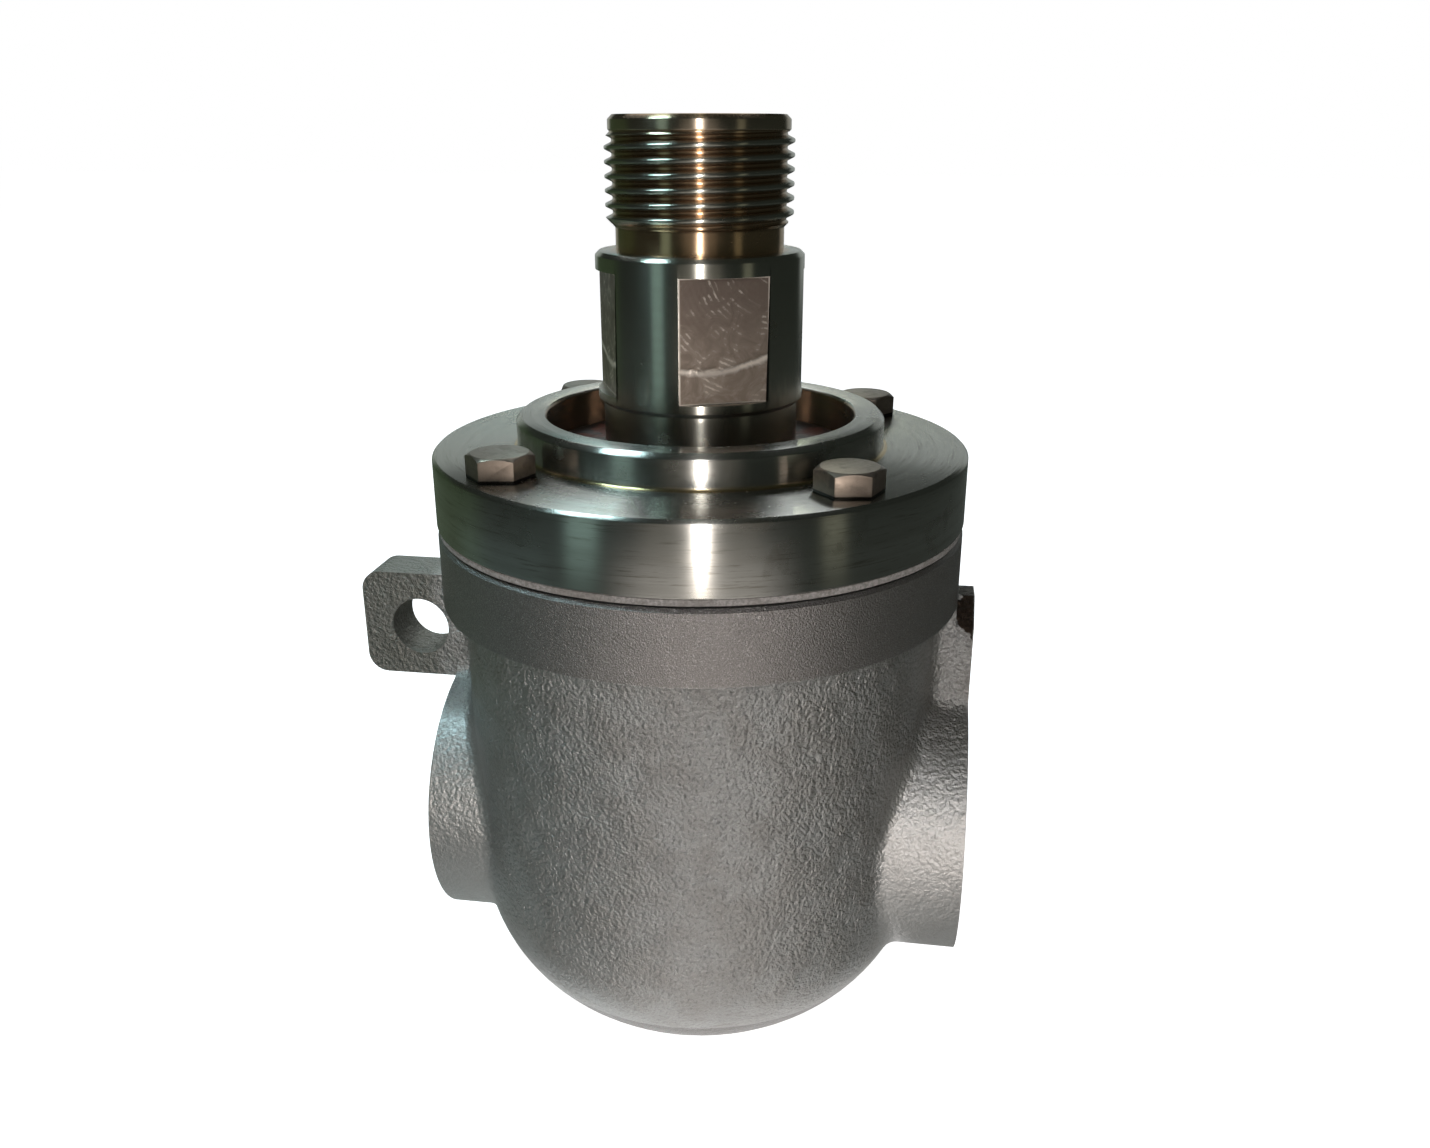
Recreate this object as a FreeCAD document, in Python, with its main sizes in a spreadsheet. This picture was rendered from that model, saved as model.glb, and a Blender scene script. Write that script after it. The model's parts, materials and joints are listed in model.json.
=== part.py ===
import FreeCAD, Part
import Sketcher
import math
import os

from FreeCAD import Placement, Rotation, Vector

# A rotary union: a hollow rotor turns on two ball bearings in a flanged cover, and a sprung carbon ring
# seals its lower end, so that a fluid passes from the two side ports of the housing up through the rotor.
# The frame has +Z up the rotor, the ports along X and the origin at the middle of the resting face.

doc = FreeCAD.newDocument("rotary_union")
sizes = doc.addObject("Spreadsheet::Sheet", "Sizes")

TINY = 1e-7
NEAR = 1e-3
PROBE_STEP = 0.05
LEAST_CORNER = 0.05

# Driving sizes in millimetres: alias, value, meaning.
DRIVING_SIZES = (
    ("housing_height", 128.6, "resting face to the joint face"),
    ("base_radius", 26.0, "flat resting face of the housing"),
    ("dome_round", 43.75, "radius of the rounded lower body"),
    ("wall", 8.0, "cast wall round the chamber"),
    ("floor_thickness", 10.0, "floor of the chamber"),
    ("rim_step", 5.0, "turned band below the joint face, proud of the body"),
    ("rim_depth", 16.9, "height of that band"),
    ("rim_chamfer", 0.8, "edge of that band"),
    ("casting_round", 4.0, "fillets of the casting"),
    ("port_drop", 25.5, "axis of the side ports below the ceiling of the chamber"),
    ("boss_radius", 33.6, "outside of the port bosses"),
    ("left_boss_length", 5.0, "left port boss past the body"),
    ("right_boss_length", 9.0, "right port boss past the body"),
    ("port_radius", 19.5, "tapped wall of the ports"),
    ("port_chamfer", 1.6, "mouth of the ports"),
    ("ear_length", 28.9, "ear past the body"),
    ("ear_thickness", 12.8, "ear, front to back"),
    ("ear_depth", 27.4, "ear below the band"),
    ("ear_round", 5.0, "outer corners of the ear"),
    ("ear_hole_radius", 7.4, "hole for the holding rod"),
    ("ear_hole_inset", 14.8, "ear's hole inside its outer edge"),
    ("ear_hole_drop", 14.2, "ear's hole below the band"),
    ("stub_chamfer", 6.0, "upper front edge of the cut-off ear"),
    ("web_thickness", 12.0, "wall between the chamber and the bearing space"),
    ("guide_wall", 4.0, "wall of the seal guide"),
    ("guide_floor", 8.0, "floor of the seal guide"),
    ("guide_ring_section", 1.1, "radius of the section of the guide's O-ring"),
    ("o_ring_ease", 0.2, "O-ring grooves beside their ring"),
    ("socket_depth", 28.0, "seal socket below the bearing space"),
    ("socket_radius", 30.0, "seal socket"),
    ("drain_radius", 2.5, "drain at the back of the bearing space"),
    ("gasket_thickness", 2.0, "gasket under the cover"),
    ("gasket_setback", 0.4, "gasket inside the flange's edge"),
    ("flange_thickness", 16.4, "cover's flange"),
    ("flange_overhang", 0.1, "cover's flange past the band"),
    ("flange_chamfer", 0.8, "edges of the cover's flange"),
    ("hub_wall", 7.0, "raised ring on the cover, across"),
    ("hub_height", 7.8, "raised ring on the cover"),
    ("hub_chamfer", 1.2, "upper edge of the raised ring"),
    ("hub_round", 0.8, "fillet at the foot of the raised ring"),
    ("seal_radius", 36.0, "bore for the dust seal"),
    ("seal_recess", 8.8, "dust seal below the raised ring"),
    ("seal_width", 8.0, "dust seal"),
    ("seal_skin", 0.8, "rubber round the dust seal's steel insert"),
    ("insert_thickness", 1.2, "steel insert"),
    ("insert_drop", 1.4, "steel insert below the dust seal's face"),
    ("insert_gap", 5.6, "rotor to the steel insert"),
    ("dust_lip", 1.2, "dust lip, across and along"),
    ("lip_depth", 1.8, "hollow between the two lips"),
    ("lip_height", 2.4, "sealing edge above the dust seal's lower side"),
    ("lip_back", 4.0, "back of the sealing lip to the rotor"),
    ("garter_section", 0.8, "radius of the garter spring's section"),
    ("garter_place", 4.15, "rotor to the middle of that section"),
    ("shoulder_thickness", 3.0, "shoulder between the seal and the bearing"),
    ("shoulder_width", 5.0, "shoulder inside the seal's bore"),
    ("sleeve_wall", 8.0, "bearing sleeve of the cover, across"),
    ("sleeve_end", 2.5, "sleeve below its retaining ring"),
    ("sleeve_gap", 2.0, "sleeve above the floor of the bearing space"),
    ("sleeve_ring_drop", 12.0, "sleeve's O-ring below the flange"),
    ("sleeve_ring_section", 1.25, "radius of that O-ring's section"),
    ("bearing_radius", 34.0, "outside of the ball bearings"),
    ("bearing_bore", 20.0, "bore of the ball bearings"),
    ("bearing_width", 15.0, "ball bearings"),
    ("spacer_width", 8.0, "between the ball bearings"),
    ("spacer_wall", 3.0, "spacers between the ball bearings, across"),
    ("ball_radius", 3.95, "balls"),
    ("race_depth", 2.35, "depth of the ball tracks"),
    ("ball_count", 12, "balls in each bearing"),
    ("cage_thickness", 2.8, "ball cage, across"),
    ("cage_width", 11.0, "ball cage, along the axis"),
    ("cover_ring_width", 2.5, "retaining ring in the sleeve"),
    ("cover_ring_bite", 2.2, "depth of its groove in the sleeve"),
    ("cover_ring_reach", 5.0, "its width across"),
    ("rotor_ring_width", 1.75, "retaining ring on the rotor"),
    ("rotor_ring_bite", 1.25, "depth of its groove in the rotor"),
    ("rotor_ring_reach", 4.6, "its width across"),
    ("eye_radius", 2.2, "eyes of the retaining rings"),
    ("eye_hole_radius", 1.0, "holes of those eyes"),
    ("eye_spread", 4.2, "middle of the ring's gap to an eye"),
    ("eye_shift", 1.0, "eyes past the edge of their ring"),
    ("ring_gap", 4.0, "gap of the retaining rings"),
    ("bolt_count", 4, "cover bolts"),
    ("bolt_setout", 9.5, "bolt circle outside the raised ring"),
    ("bolt_inset", 10.1, "bolt circle inside the flange's edge"),
    ("bolt_radius", 4.0, "bolt's shank"),
    ("bolt_length", 30.0, "bolt's shank"),
    ("bolt_play", 0.5, "holes of the cover round the bolts"),
    ("tapping_depth", 15.0, "tapped holes of the housing"),
    ("head_height", 5.3, "bolt's head"),
    ("head_flats", 13.0, "bolt's head across its flats"),
    ("head_land", 6.2, "radius of the flat top of the bolt's head"),
    ("spindle_rise", 2.8, "thick part of the rotor above the raised ring"),
    ("rotor_bore", 14.0, "passage through the rotor"),
    ("pilot_radius", 20.1, "plain lead before the thread"),
    ("pilot_length", 3.6, "plain lead before the thread"),
    ("pilot_chamfer", 1.0, "its outer edge"),
    ("thread_radius", 21.0, "crests of the thread"),
    ("thread_length", 19.8, "threaded stretch with its run-in"),
    ("relief_radius", 18.9, "groove behind the thread"),
    ("relief_width", 5.1, "groove behind the thread"),
    ("spindle_step", 1.15, "thick part of the rotor, proud of its neck"),
    ("spindle_length", 33.7, "thick part of the rotor"),
    ("spindle_chamfer", 0.9, "its two edges"),
    ("flat_depth", 2.25, "wrench flats below the round of the thick part"),
    ("flat_setback", 3.9, "wrench flats below the upper edge"),
    ("flat_length", 27.0, "wrench flats"),
    ("flat_turn", 23.5, "degrees from the front to the nearest flat"),
    ("neck_radius", 22.5, "rotor where the dust seal runs"),
    ("nose_radius", 17.5, "rotor's lower end"),
    ("nose_length", 7.0, "rotor's lower end"),
    ("nose_ring_section", 0.9, "radius of the section of the nose's O-ring"),
    ("journal_end", 4.0, "journal below the bearings"),
    ("ring_seat", 2.0, "seal ring below the rotor's end"),
    ("face_ring_radius", 26.0, "turning seal ring"),
    ("seal_face_inner", 17.2, "inner edge of the rubbing face"),
    ("seal_face_outer", 21.2, "outer edge of the rubbing face"),
    ("seal_face_height", 2.0, "raised rubbing face"),
    ("carbon_radius", 24.5, "carbon ring"),
    ("carbon_height", 6.0, "carbon ring without its rubbing face"),
    ("carrier_radius", 28.0, "cup of the seal carrier"),
    ("carrier_bore", 15.5, "passage through the seal carrier"),
    ("carrier_floor", 4.5, "floor of the seal carrier's cup"),
    ("carrier_rim", 4.0, "rim of the seal carrier's cup"),
    ("tube_radius", 21.0, "tube of the seal carrier"),
    ("tube_tail", 2.0, "tube below its guide"),
    ("pin_radius", 1.5, "drive pins of the seal carrier"),
    ("pin_seat", 4.0, "drive pin inside the carrier's cup"),
    ("pin_reach", 32.0, "axis to the outer end of a drive pin"),
    ("pin_slot_depth", 3.0, "slots for the drive pins"),
    ("pin_slot_drop", 2.0, "slots below the cup"),
    ("pin_play", 0.1, "beside a drive pin in its slot"),
    ("spring_wire", 2.2, "side of the spring's square wire"),
    ("spring_play", 2.4, "spring round the carrier's tube"),
    ("spring_turns", 2.5, "turns of the spring"),
    ("running_play", 0.05, "radial clearance of running fits"),
    ("seat_play", 0.02, "clearance of pieces that seat in one another"),
)


def fill_sheet():
    """Write the driving sizes into the sheet, one to a row."""
    for row, (alias, number, meaning) in enumerate(DRIVING_SIZES, start=1):
        sizes.set(f"A{row}", meaning)
        sizes.set(f"B{row}", str(number))
        sizes.setAlias(f"B{row}", alias)
    doc.recompute()


def size(alias):
    """Expression for a driving size."""
    return f"Sizes.{alias}"


def total(*terms):
    """Expression for a sum; a bare alias stands for its driving size."""
    return "(" + " + ".join(named(term) for term in terms) + ")"


def less(first, *others):
    """Expression for the first term less the others."""
    return "(" + " - ".join([named(first)] + [named(term) for term in others]) + ")"


def named(term):
    """A bare alias becomes its driving size, and any other term stays as it is."""
    aliases = {alias for alias, number, meaning in DRIVING_SIZES}
    return size(term) if term in aliases else str(term)


def value(term):
    """Present value of an expression or alias."""
    result = sizes.evalExpression(named(term))
    return float(getattr(result, "Value", result))


# Radii from the raised ring outwards to the cast body, which clear one another by the bolts.
HUB_RADIUS = total("seal_radius", "hub_wall")
BOLT_CIRCLE = total(HUB_RADIUS, "bolt_setout")
FLANGE_RADIUS = total(BOLT_CIRCLE, "bolt_inset")
RIM_RADIUS = less(FLANGE_RADIUS, "flange_overhang")
BODY_RADIUS = less(RIM_RADIUS, "rim_step")

# Heights above the resting face that several pieces share.
RIM_BOTTOM = less("housing_height", "rim_depth")
EAR_BOTTOM = less(RIM_BOTTOM, "ear_depth")
DOME_CENTRE = less(BODY_RADIUS, "dome_round")
DOME_TOP = f"sqrt(Sizes.dome_round^2 - (Sizes.base_radius - {BODY_RADIUS} + Sizes.dome_round)^2)"
FLANGE_BOTTOM = total("housing_height", "gasket_thickness")
FLANGE_TOP = total(FLANGE_BOTTOM, "flange_thickness")
HUB_TOP = total(FLANGE_TOP, "hub_height")
SEAL_TOP = less(HUB_TOP, "seal_recess")
SEAL_BOTTOM = less(SEAL_TOP, "seal_width")
BEARING_TOP = less(SEAL_BOTTOM, "shoulder_thickness")
SPACER_TOP = less(BEARING_TOP, "bearing_width")
SPACER_BOTTOM = less(SPACER_TOP, "spacer_width")
BEARING_BOTTOM = less(SPACER_BOTTOM, "bearing_width")
SLEEVE_BOTTOM = less(BEARING_BOTTOM, "cover_ring_width", "sleeve_end")
SPACE_FLOOR = less(SLEEVE_BOTTOM, "sleeve_gap")
CHAMBER_TOP = less(SPACE_FLOOR, "web_thickness")
SOCKET_FLOOR = less(SPACE_FLOOR, "socket_depth")
GUIDE_BOTTOM = less(SOCKET_FLOOR, "guide_floor")
PORT_HEIGHT = less(CHAMBER_TOP, "port_drop")
SPINDLE_BOTTOM = total(HUB_TOP, "spindle_rise")
SPINDLE_TOP = total(SPINDLE_BOTTOM, "spindle_length")
THREAD_BOTTOM = total(SPINDLE_TOP, "relief_width")
THREAD_TOP = total(THREAD_BOTTOM, "thread_length")
ROTOR_TOP = total(THREAD_TOP, "pilot_length")
JOURNAL_BOTTOM = less(BEARING_BOTTOM, "journal_end")
NOSE_BOTTOM = less(JOURNAL_BOTTOM, "nose_length")
SEAL_FACE = less(NOSE_BOTTOM, "ring_seat")
CARBON_BOTTOM = less(SEAL_FACE, "seal_face_height", "carbon_height")
CUP_BOTTOM = less(CARBON_BOTTOM, "carrier_floor")
TUBE_BOTTOM = less(GUIDE_BOTTOM, "tube_tail")

# Other radii that several pieces share.
SPINDLE_RADIUS = total("neck_radius", "spindle_step")
FLAT_DISTANCE = less(SPINDLE_RADIUS, "flat_depth")
LEFT_FACE = total(BODY_RADIUS, "left_boss_length")
RIGHT_FACE = total(BODY_RADIUS, "right_boss_length")
EAR_REACH = total(BODY_RADIUS, "ear_length")
SHOULDER_RADIUS = less("seal_radius", "shoulder_width")
SLEEVE_RADIUS = total("bearing_radius", "sleeve_wall")
CHAMBER_RADIUS = less(BODY_RADIUS, "wall")
SPACE_RADIUS = total(SLEEVE_RADIUS, "running_play")
GUIDE_BORE = total("tube_radius", "running_play")
GUIDE_RADIUS = total("socket_radius", "guide_wall")
GUIDE_RING_RADIUS = total(GUIDE_BORE, "guide_ring_section")
GUIDE_RING_HEIGHT = total(GUIDE_BOTTOM, "Sizes.guide_floor / 2")
SLEEVE_RING_RADIUS = less(SLEEVE_RADIUS, "sleeve_ring_section")
NOSE_RING_RADIUS = less("nose_radius", "nose_ring_section")
NOSE_RING_HEIGHT = total(NOSE_BOTTOM, "Sizes.nose_length / 2")
PITCH_RADIUS = "((Sizes.bearing_radius + Sizes.bearing_bore) / 2)"
TRACK_RADIUS = total("ball_radius", "running_play")
INNER_LAND = f"({PITCH_RADIUS} - {TRACK_RADIUS} + Sizes.race_depth)"
OUTER_LAND = f"({PITCH_RADIUS} + {TRACK_RADIUS} - Sizes.race_depth)"

# Degrees round the axis from +X to the first cover bolt, and how far each bolt head came to rest from
# pointing a corner outwards.
FIRST_BOLT_ANGLE = 45
BOLT_HEAD_TURNS = (10, 22, 25, -9)

# How far a cut runs on past the surface that it opens.
PAST = "1"


def new_body(label):
    """A sub-part of its own, named after its file."""
    body = doc.addObject("PartDesign::Body", label)
    body.Label = label
    body.AllowCompound = True
    return body


def origin_feature(body, role):
    """An origin plane or axis of a body."""
    return next(feature for feature in body.Origin.OriginFeatures if feature.Role == role)


def new_sketch(body, name, role, offset=None, turn=None):
    """A sketch on an origin plane, moved along its normal and turned about it where asked."""
    sketch = body.newObject("Sketcher::SketchObject", f"{body.Label}_{name}")
    sketch.AttachmentSupport = [(origin_feature(body, role), "")]
    sketch.MapMode = "FlatFace"
    height = value(offset) if offset else 0.0
    angle = value(turn) if turn else 0.0
    sketch.AttachmentOffset = Placement(Vector(0, 0, height), Rotation(Vector(0, 0, 1), angle))
    if offset:
        sketch.setExpression("AttachmentOffset.Base.z", named(offset))
    if turn:
        sketch.setExpression("AttachmentOffset.Rotation.Angle", named(turn))
    return sketch


def bind(sketch, constraint, expression):
    """Add a constraint whose value follows an expression."""
    index = sketch.addConstraint(constraint)
    sketch.setExpression(f"Constraints[{index}]", named(expression))


def place_point(sketch, geometry, position, across, up):
    """Fix a point of a sketch by its two distances from the sketch's origin."""
    for axis, kind, expression in ((-2, "DistanceX", across), (-1, "DistanceY", up)):
        distance = value(expression)
        if abs(distance) < TINY:
            sketch.addConstraint(Sketcher.Constraint("PointOnObject", geometry, position, axis))
        elif distance > 0:
            bind(sketch, Sketcher.Constraint(kind, -1, 1, geometry, position, distance), expression)
        else:
            mirrored = f"-({named(expression)})"
            bind(sketch, Sketcher.Constraint(kind, geometry, position, -1, 1, -distance), mirrored)


def arc_between(start, end, radius):
    """The short anticlockwise arc from start to end, or the clockwise one for a negative radius."""
    chord = end - start
    middle = (start + end) * 0.5
    side = Vector(-chord.y, chord.x, 0).normalize()
    reach = math.sqrt(radius * radius - (chord.Length / 2) ** 2)
    centre = middle + side * (reach if radius > 0 else -reach)
    first, last = (start, end) if radius > 0 else (end, start)
    first_angle = math.atan2(first.y - centre.y, first.x - centre.x)
    last_angle = math.atan2(last.y - centre.y, last.x - centre.x)
    circle = Part.Circle(centre, Vector(0, 0, 1), abs(radius))
    return Part.ArcOfCircle(circle, first_angle, last_angle)


def draw_outline(sketch, points):
    """A closed outline through (across, up) points; a third entry is the radius of the arc to that point."""
    spots = [Vector(value(point[0]), value(point[1]), 0) for point in points]
    pieces = []
    for index, point in enumerate(points):
        start, end = spots[index - 1], spots[index]
        if len(point) == 2:
            geometry = sketch.addGeometry(Part.LineSegment(start, end), False)
            pieces.append((geometry, 1, 2))
        else:
            radius = value(point[2])
            geometry = sketch.addGeometry(arc_between(start, end, radius), False)
            pieces.append((geometry, 1, 2) if radius > 0 else (geometry, 2, 1))
    for index, point in enumerate(points):
        geometry, first, last = pieces[index]
        before, _, before_last = pieces[index - 1]
        sketch.addConstraint(Sketcher.Constraint("Coincident", before, before_last, geometry, first))
        place_point(sketch, geometry, last, point[0], point[1])
        if len(point) == 3:
            radius = abs(value(point[2]))
            bind(sketch, Sketcher.Constraint("Radius", geometry, radius), f"abs({named(point[2])})")


def draw_circle(sketch, across, up, radius):
    """A circle with its centre and radius bound."""
    circle = Part.Circle(Vector(value(across), value(up), 0), Vector(0, 0, 1), value(radius))
    geometry = sketch.addGeometry(circle, False)
    place_point(sketch, geometry, 3, across, up)
    bind(sketch, Sketcher.Constraint("Radius", geometry, value(radius)), radius)


def add_feature(body, kind, name, sketch):
    """A PartDesign feature of a body made from a sketch."""
    feature = body.newObject(f"PartDesign::{kind}", f"{body.Label}_{name}")
    feature.Profile = sketch
    body.Tip = feature
    return feature


def spin(body, name, points, kind="Revolution"):
    """Turn an outline of (radius, height) points once round the vertical axis, as solid or as cut."""
    sketch = new_sketch(body, f"{name}_outline", "XZ_Plane")
    draw_outline(sketch, points)
    feature = add_feature(body, kind, name, sketch)
    feature.ReferenceAxis = (sketch, ["V_Axis"])
    feature.Angle = 360
    return feature


def turned(label, points):
    """A sub-part that is one turned outline."""
    body = new_body(label)
    spin(body, "turned", points)
    return body


def eight_sides(across, up, radius):
    """Points of a regular octagon that stands round a circle of that radius."""
    turns = [math.radians(45 * step + 22.5) for step in range(8)]
    reach = 1 / math.cos(math.radians(22.5))
    return [
        (f"({named(across)} + {named(radius)} * {reach * math.cos(turn):.9f})",
         f"({named(up)} + {named(radius)} * {reach * math.sin(turn):.9f})")
        for turn in turns
    ]


def round_ring(label, radius, height, section):
    """A sub-part that is a round section, drawn with eight sides, bent into a ring."""
    return turned(label, eight_sides(radius, height, section))


def cut_ring_seat(body, name, deep, wall, height, section):
    """A square groove for an O-ring, from its bottom to past the wall that it is cut in."""
    low = less(height, section, "o_ring_ease")
    high = total(height, section, "o_ring_ease")
    spin(body, name, [(deep, low), (wall, low), (wall, high), (deep, high)], kind="Groove")


def extrude(body, kind, name, sketch, length, reverse=False, symmetric=False):
    """A Pad or Pocket with its length bound."""
    feature = add_feature(body, kind, name, sketch)
    feature.Length = value(length)
    feature.setExpression("Length", named(length))
    feature.Reversed = reverse
    feature.SideType = "Symmetric" if symmetric else "One side"
    return feature


def repeat(body, name, feature, count):
    """Repeat a feature round the vertical axis."""
    pattern = body.newObject("PartDesign::PolarPattern", f"{body.Label}_{name}")
    pattern.Originals = feature if isinstance(feature, list) else [feature]
    pattern.Axis = (origin_feature(body, "Z_Axis"), [""])
    pattern.Angle = 360
    pattern.Occurrences = int(value(count))
    pattern.setExpression("Occurrences", named(count))
    body.Tip = pattern
    return pattern


def dress(body, kind, name, amount_property, amount, chosen):
    """Fillet or chamfer the edges of the body so far for which chosen is true."""
    doc.recompute()
    base = body.Tip
    edges = [f"Edge{number}" for number, edge in enumerate(base.Shape.Edges, start=1) if chosen(edge)]
    feature = body.newObject(f"PartDesign::{kind}", f"{body.Label}_{name}")
    feature.Base = (base, edges)
    setattr(feature, amount_property, value(amount))
    feature.setExpression(amount_property, named(amount))
    body.Tip = feature
    return feature


def near(first, second):
    """Whether two lengths agree to a thousandth of a millimetre."""
    return abs(first - second) < NEAR


def is_circle(edge, radius, centre=None):
    """Whether an edge is a circle of that radius, about that centre where one is given."""
    if edge.Degenerated or not isinstance(edge.Curve, Part.Circle) or not near(edge.Curve.Radius, radius):
        return False
    return centre is None or (edge.Curve.Center - centre).Length < NEAR


def is_across(edge, x, z):
    """Whether an edge runs along Y at that place."""
    ends = [vertex.Point for vertex in edge.Vertexes]
    return len(ends) == 2 and all(near(point.x, x) and near(point.z, z) for point in ends)


def is_inner_corner(shape, edge):
    """Whether the solid is hollow along an edge, as where a boss meets a wall."""
    faces = shape.ancestorsOfType(edge, Part.Face)
    if len(faces) != 2:
        return False
    first, last = edge.ParameterRange
    middle = edge.valueAt((first + last) / 2)
    normals = [face.normalAt(*face.Surface.parameter(middle)) for face in faces]
    step = (normals[0] - normals[1]) * PROBE_STEP
    sharp = normals[0].cross(normals[1]).Length > LEAST_CORNER
    return sharp and all(shape.isInside(middle + side * step, TINY, True) for side in (-1, 1))


# Housing


def housing_form(body):
    """The outside of the casting: body with its rim, bosses, ear and cut-off ear."""
    spin(body, "form", [
        ("0", "0"),
        ("base_radius", "0"),
        (BODY_RADIUS, DOME_TOP, "dome_round"),
        (BODY_RADIUS, RIM_BOTTOM),
        (RIM_RADIUS, RIM_BOTTOM),
        (RIM_RADIUS, less("housing_height", "rim_chamfer")),
        (less(RIM_RADIUS, "rim_chamfer"), "housing_height"),
        ("0", "housing_height"),
    ])
    for side, face, reverse in (("left", LEFT_FACE, True), ("right", RIGHT_FACE, False)):
        sketch = new_sketch(body, f"{side}_boss_circle", "YZ_Plane")
        draw_circle(sketch, "0", PORT_HEIGHT, "boss_radius")
        extrude(body, "Pad", f"{side}_boss", sketch, face, reverse=reverse)
    inside = less(BODY_RADIUS, "Sizes.wall / 2")
    sketch = new_sketch(body, "ear_outline", "XZ_Plane")
    draw_outline(sketch, [
        (f"-{inside}", EAR_BOTTOM),
        (f"-{inside}", RIM_BOTTOM),
        (f"-{EAR_REACH}", RIM_BOTTOM),
        (f"-{EAR_REACH}", EAR_BOTTOM),
    ])
    extrude(body, "Pad", "ear", sketch, "ear_thickness", symmetric=True)
    sketch = new_sketch(body, "stub_outline", "XZ_Plane")
    draw_outline(sketch, [
        (inside, PORT_HEIGHT),
        (inside, RIM_BOTTOM),
        (RIGHT_FACE, RIM_BOTTOM),
        (RIGHT_FACE, PORT_HEIGHT),
    ])
    extrude(body, "Pad", "stub", sketch, "ear_thickness", symmetric=True)


def housing_rounds(body):
    """The ear's corners, the bevel of the cut-off ear and the fillets where the bosses meet the body."""
    reach, top, low = value(EAR_REACH), value(RIM_BOTTOM), value(EAR_BOTTOM)
    dress(body, "Fillet", "ear_corners", "Radius", "ear_round",
          lambda edge: is_across(edge, -reach, top) or is_across(edge, -reach, low))
    front = -value("ear_thickness") / 2
    face = value(RIGHT_FACE)

    def is_stub_edge(edge):
        ends = [vertex.Point for vertex in edge.Vertexes]
        level = all(near(point.z, top) and near(point.y, front) and point.x > 0 for point in ends)
        return len(ends) == 2 and level and any(near(point.x, face) for point in ends)

    dress(body, "Chamfer", "stub_bevel", "Size", "stub_chamfer", is_stub_edge)

    def is_cast_corner(edge):
        ends = [vertex.Point for vertex in edge.Vertexes]
        on_rim = all(near(math.hypot(point.x, point.y), value(RIM_RADIUS)) for point in ends)
        on_face = all(near(point.x, -value(LEFT_FACE)) for point in ends)
        return is_inner_corner(body.Tip.Shape, edge) and not on_rim and not on_face

    dress(body, "Fillet", "cast_corners", "Radius", "casting_round", is_cast_corner)


def housing_inside(body):
    """The chamber, the seal guide and socket and the bearing space, turned out in one outline."""
    inner_round = less("dome_round", "wall")
    floor_drop = less(DOME_TOP, "floor_thickness")
    floor_radius = f"({DOME_CENTRE} + sqrt({inner_round}^2 - {floor_drop}^2))"
    spin(body, "inside", [
        ("0", "floor_thickness"),
        (floor_radius, "floor_thickness"),
        (CHAMBER_RADIUS, DOME_TOP, inner_round),
        (CHAMBER_RADIUS, CHAMBER_TOP),
        (GUIDE_RADIUS, CHAMBER_TOP),
        (GUIDE_RADIUS, GUIDE_BOTTOM),
        (GUIDE_BORE, GUIDE_BOTTOM),
        (GUIDE_BORE, SOCKET_FLOOR),
        ("socket_radius", SOCKET_FLOOR),
        ("socket_radius", SPACE_FLOOR),
        (SPACE_RADIUS, SPACE_FLOOR),
        (SPACE_RADIUS, "housing_height"),
        ("0", "housing_height"),
    ], kind="Groove")


def housing_holes(body):
    """Ports, the ear's hole, tapped holes, the drain and the slots of the drive pins."""
    bore_end = f"(sqrt({CHAMBER_RADIUS}^2 - Sizes.port_radius^2) - {PAST})"
    for side, face, sign in (("left", LEFT_FACE, "-"), ("right", RIGHT_FACE, "")):
        sketch = new_sketch(body, f"{side}_port_circle", "YZ_Plane", offset=f"{sign}{face}")
        draw_circle(sketch, "0", PORT_HEIGHT, "port_radius")
        extrude(body, "Pocket", f"{side}_port", sketch, less(face, bore_end), reverse=(sign == "-"))
    for side, face, sign in (("left", LEFT_FACE, -1), ("right", RIGHT_FACE, 1)):
        mouth = Vector(sign * value(face), 0, value(PORT_HEIGHT))
        dress(body, "Chamfer", f"{side}_port_mouth", "Size", "port_chamfer",
              lambda edge: is_circle(edge, value("port_radius"), mouth))
    sketch = new_sketch(body, "ear_hole_circle", "XZ_Plane")
    draw_circle(sketch, less("ear_hole_inset", EAR_REACH), less(RIM_BOTTOM, "ear_hole_drop"), "ear_hole_radius")
    extrude(body, "Pocket", "ear_hole", sketch, total("ear_thickness", PAST), symmetric=True)
    sketch = new_sketch(body, "tapping_circle", "XY_Plane", offset="housing_height", turn=str(FIRST_BOLT_ANGLE))
    draw_circle(sketch, BOLT_CIRCLE, "0", total("bolt_radius", "seat_play"))
    tapping = extrude(body, "Pocket", "tapping", sketch, "tapping_depth")
    repeat(body, "tappings", tapping, "bolt_count")
    sketch = new_sketch(body, "drain_circle", "XZ_Plane", offset=f"-{SPACE_RADIUS}")
    draw_circle(sketch, "0", total(SPACE_FLOOR, "drain_radius"), "drain_radius")
    extrude(body, "Pocket", "drain", sketch, BODY_RADIUS, reverse=False)
    sketch = new_sketch(body, "slot_outline", "XY_Plane", offset=SPACE_FLOOR, turn="90")
    half_slot = total("pin_radius", "pin_play")
    draw_outline(sketch, [
        (less("socket_radius", PAST), f"-{half_slot}"),
        (total("socket_radius", "pin_slot_depth"), f"-{half_slot}"),
        (total("socket_radius", "pin_slot_depth"), half_slot),
        (less("socket_radius", PAST), half_slot),
    ])
    slot = extrude(body, "Pocket", "slot", sketch, less(SPACE_FLOOR, less(CUP_BOTTOM, "pin_slot_drop")))
    repeat(body, "slots", slot, "2")


def build_housing():
    """The cast housing."""
    body = new_body("housing")
    housing_form(body)
    housing_rounds(body)
    housing_inside(body)
    housing_holes(body)
    cut_ring_seat(body, "o_ring_seat", total(GUIDE_RING_RADIUS, "guide_ring_section", "seat_play"),
                  less(GUIDE_BORE, PAST), GUIDE_RING_HEIGHT, "guide_ring_section")


# Cover and what holds it


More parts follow.
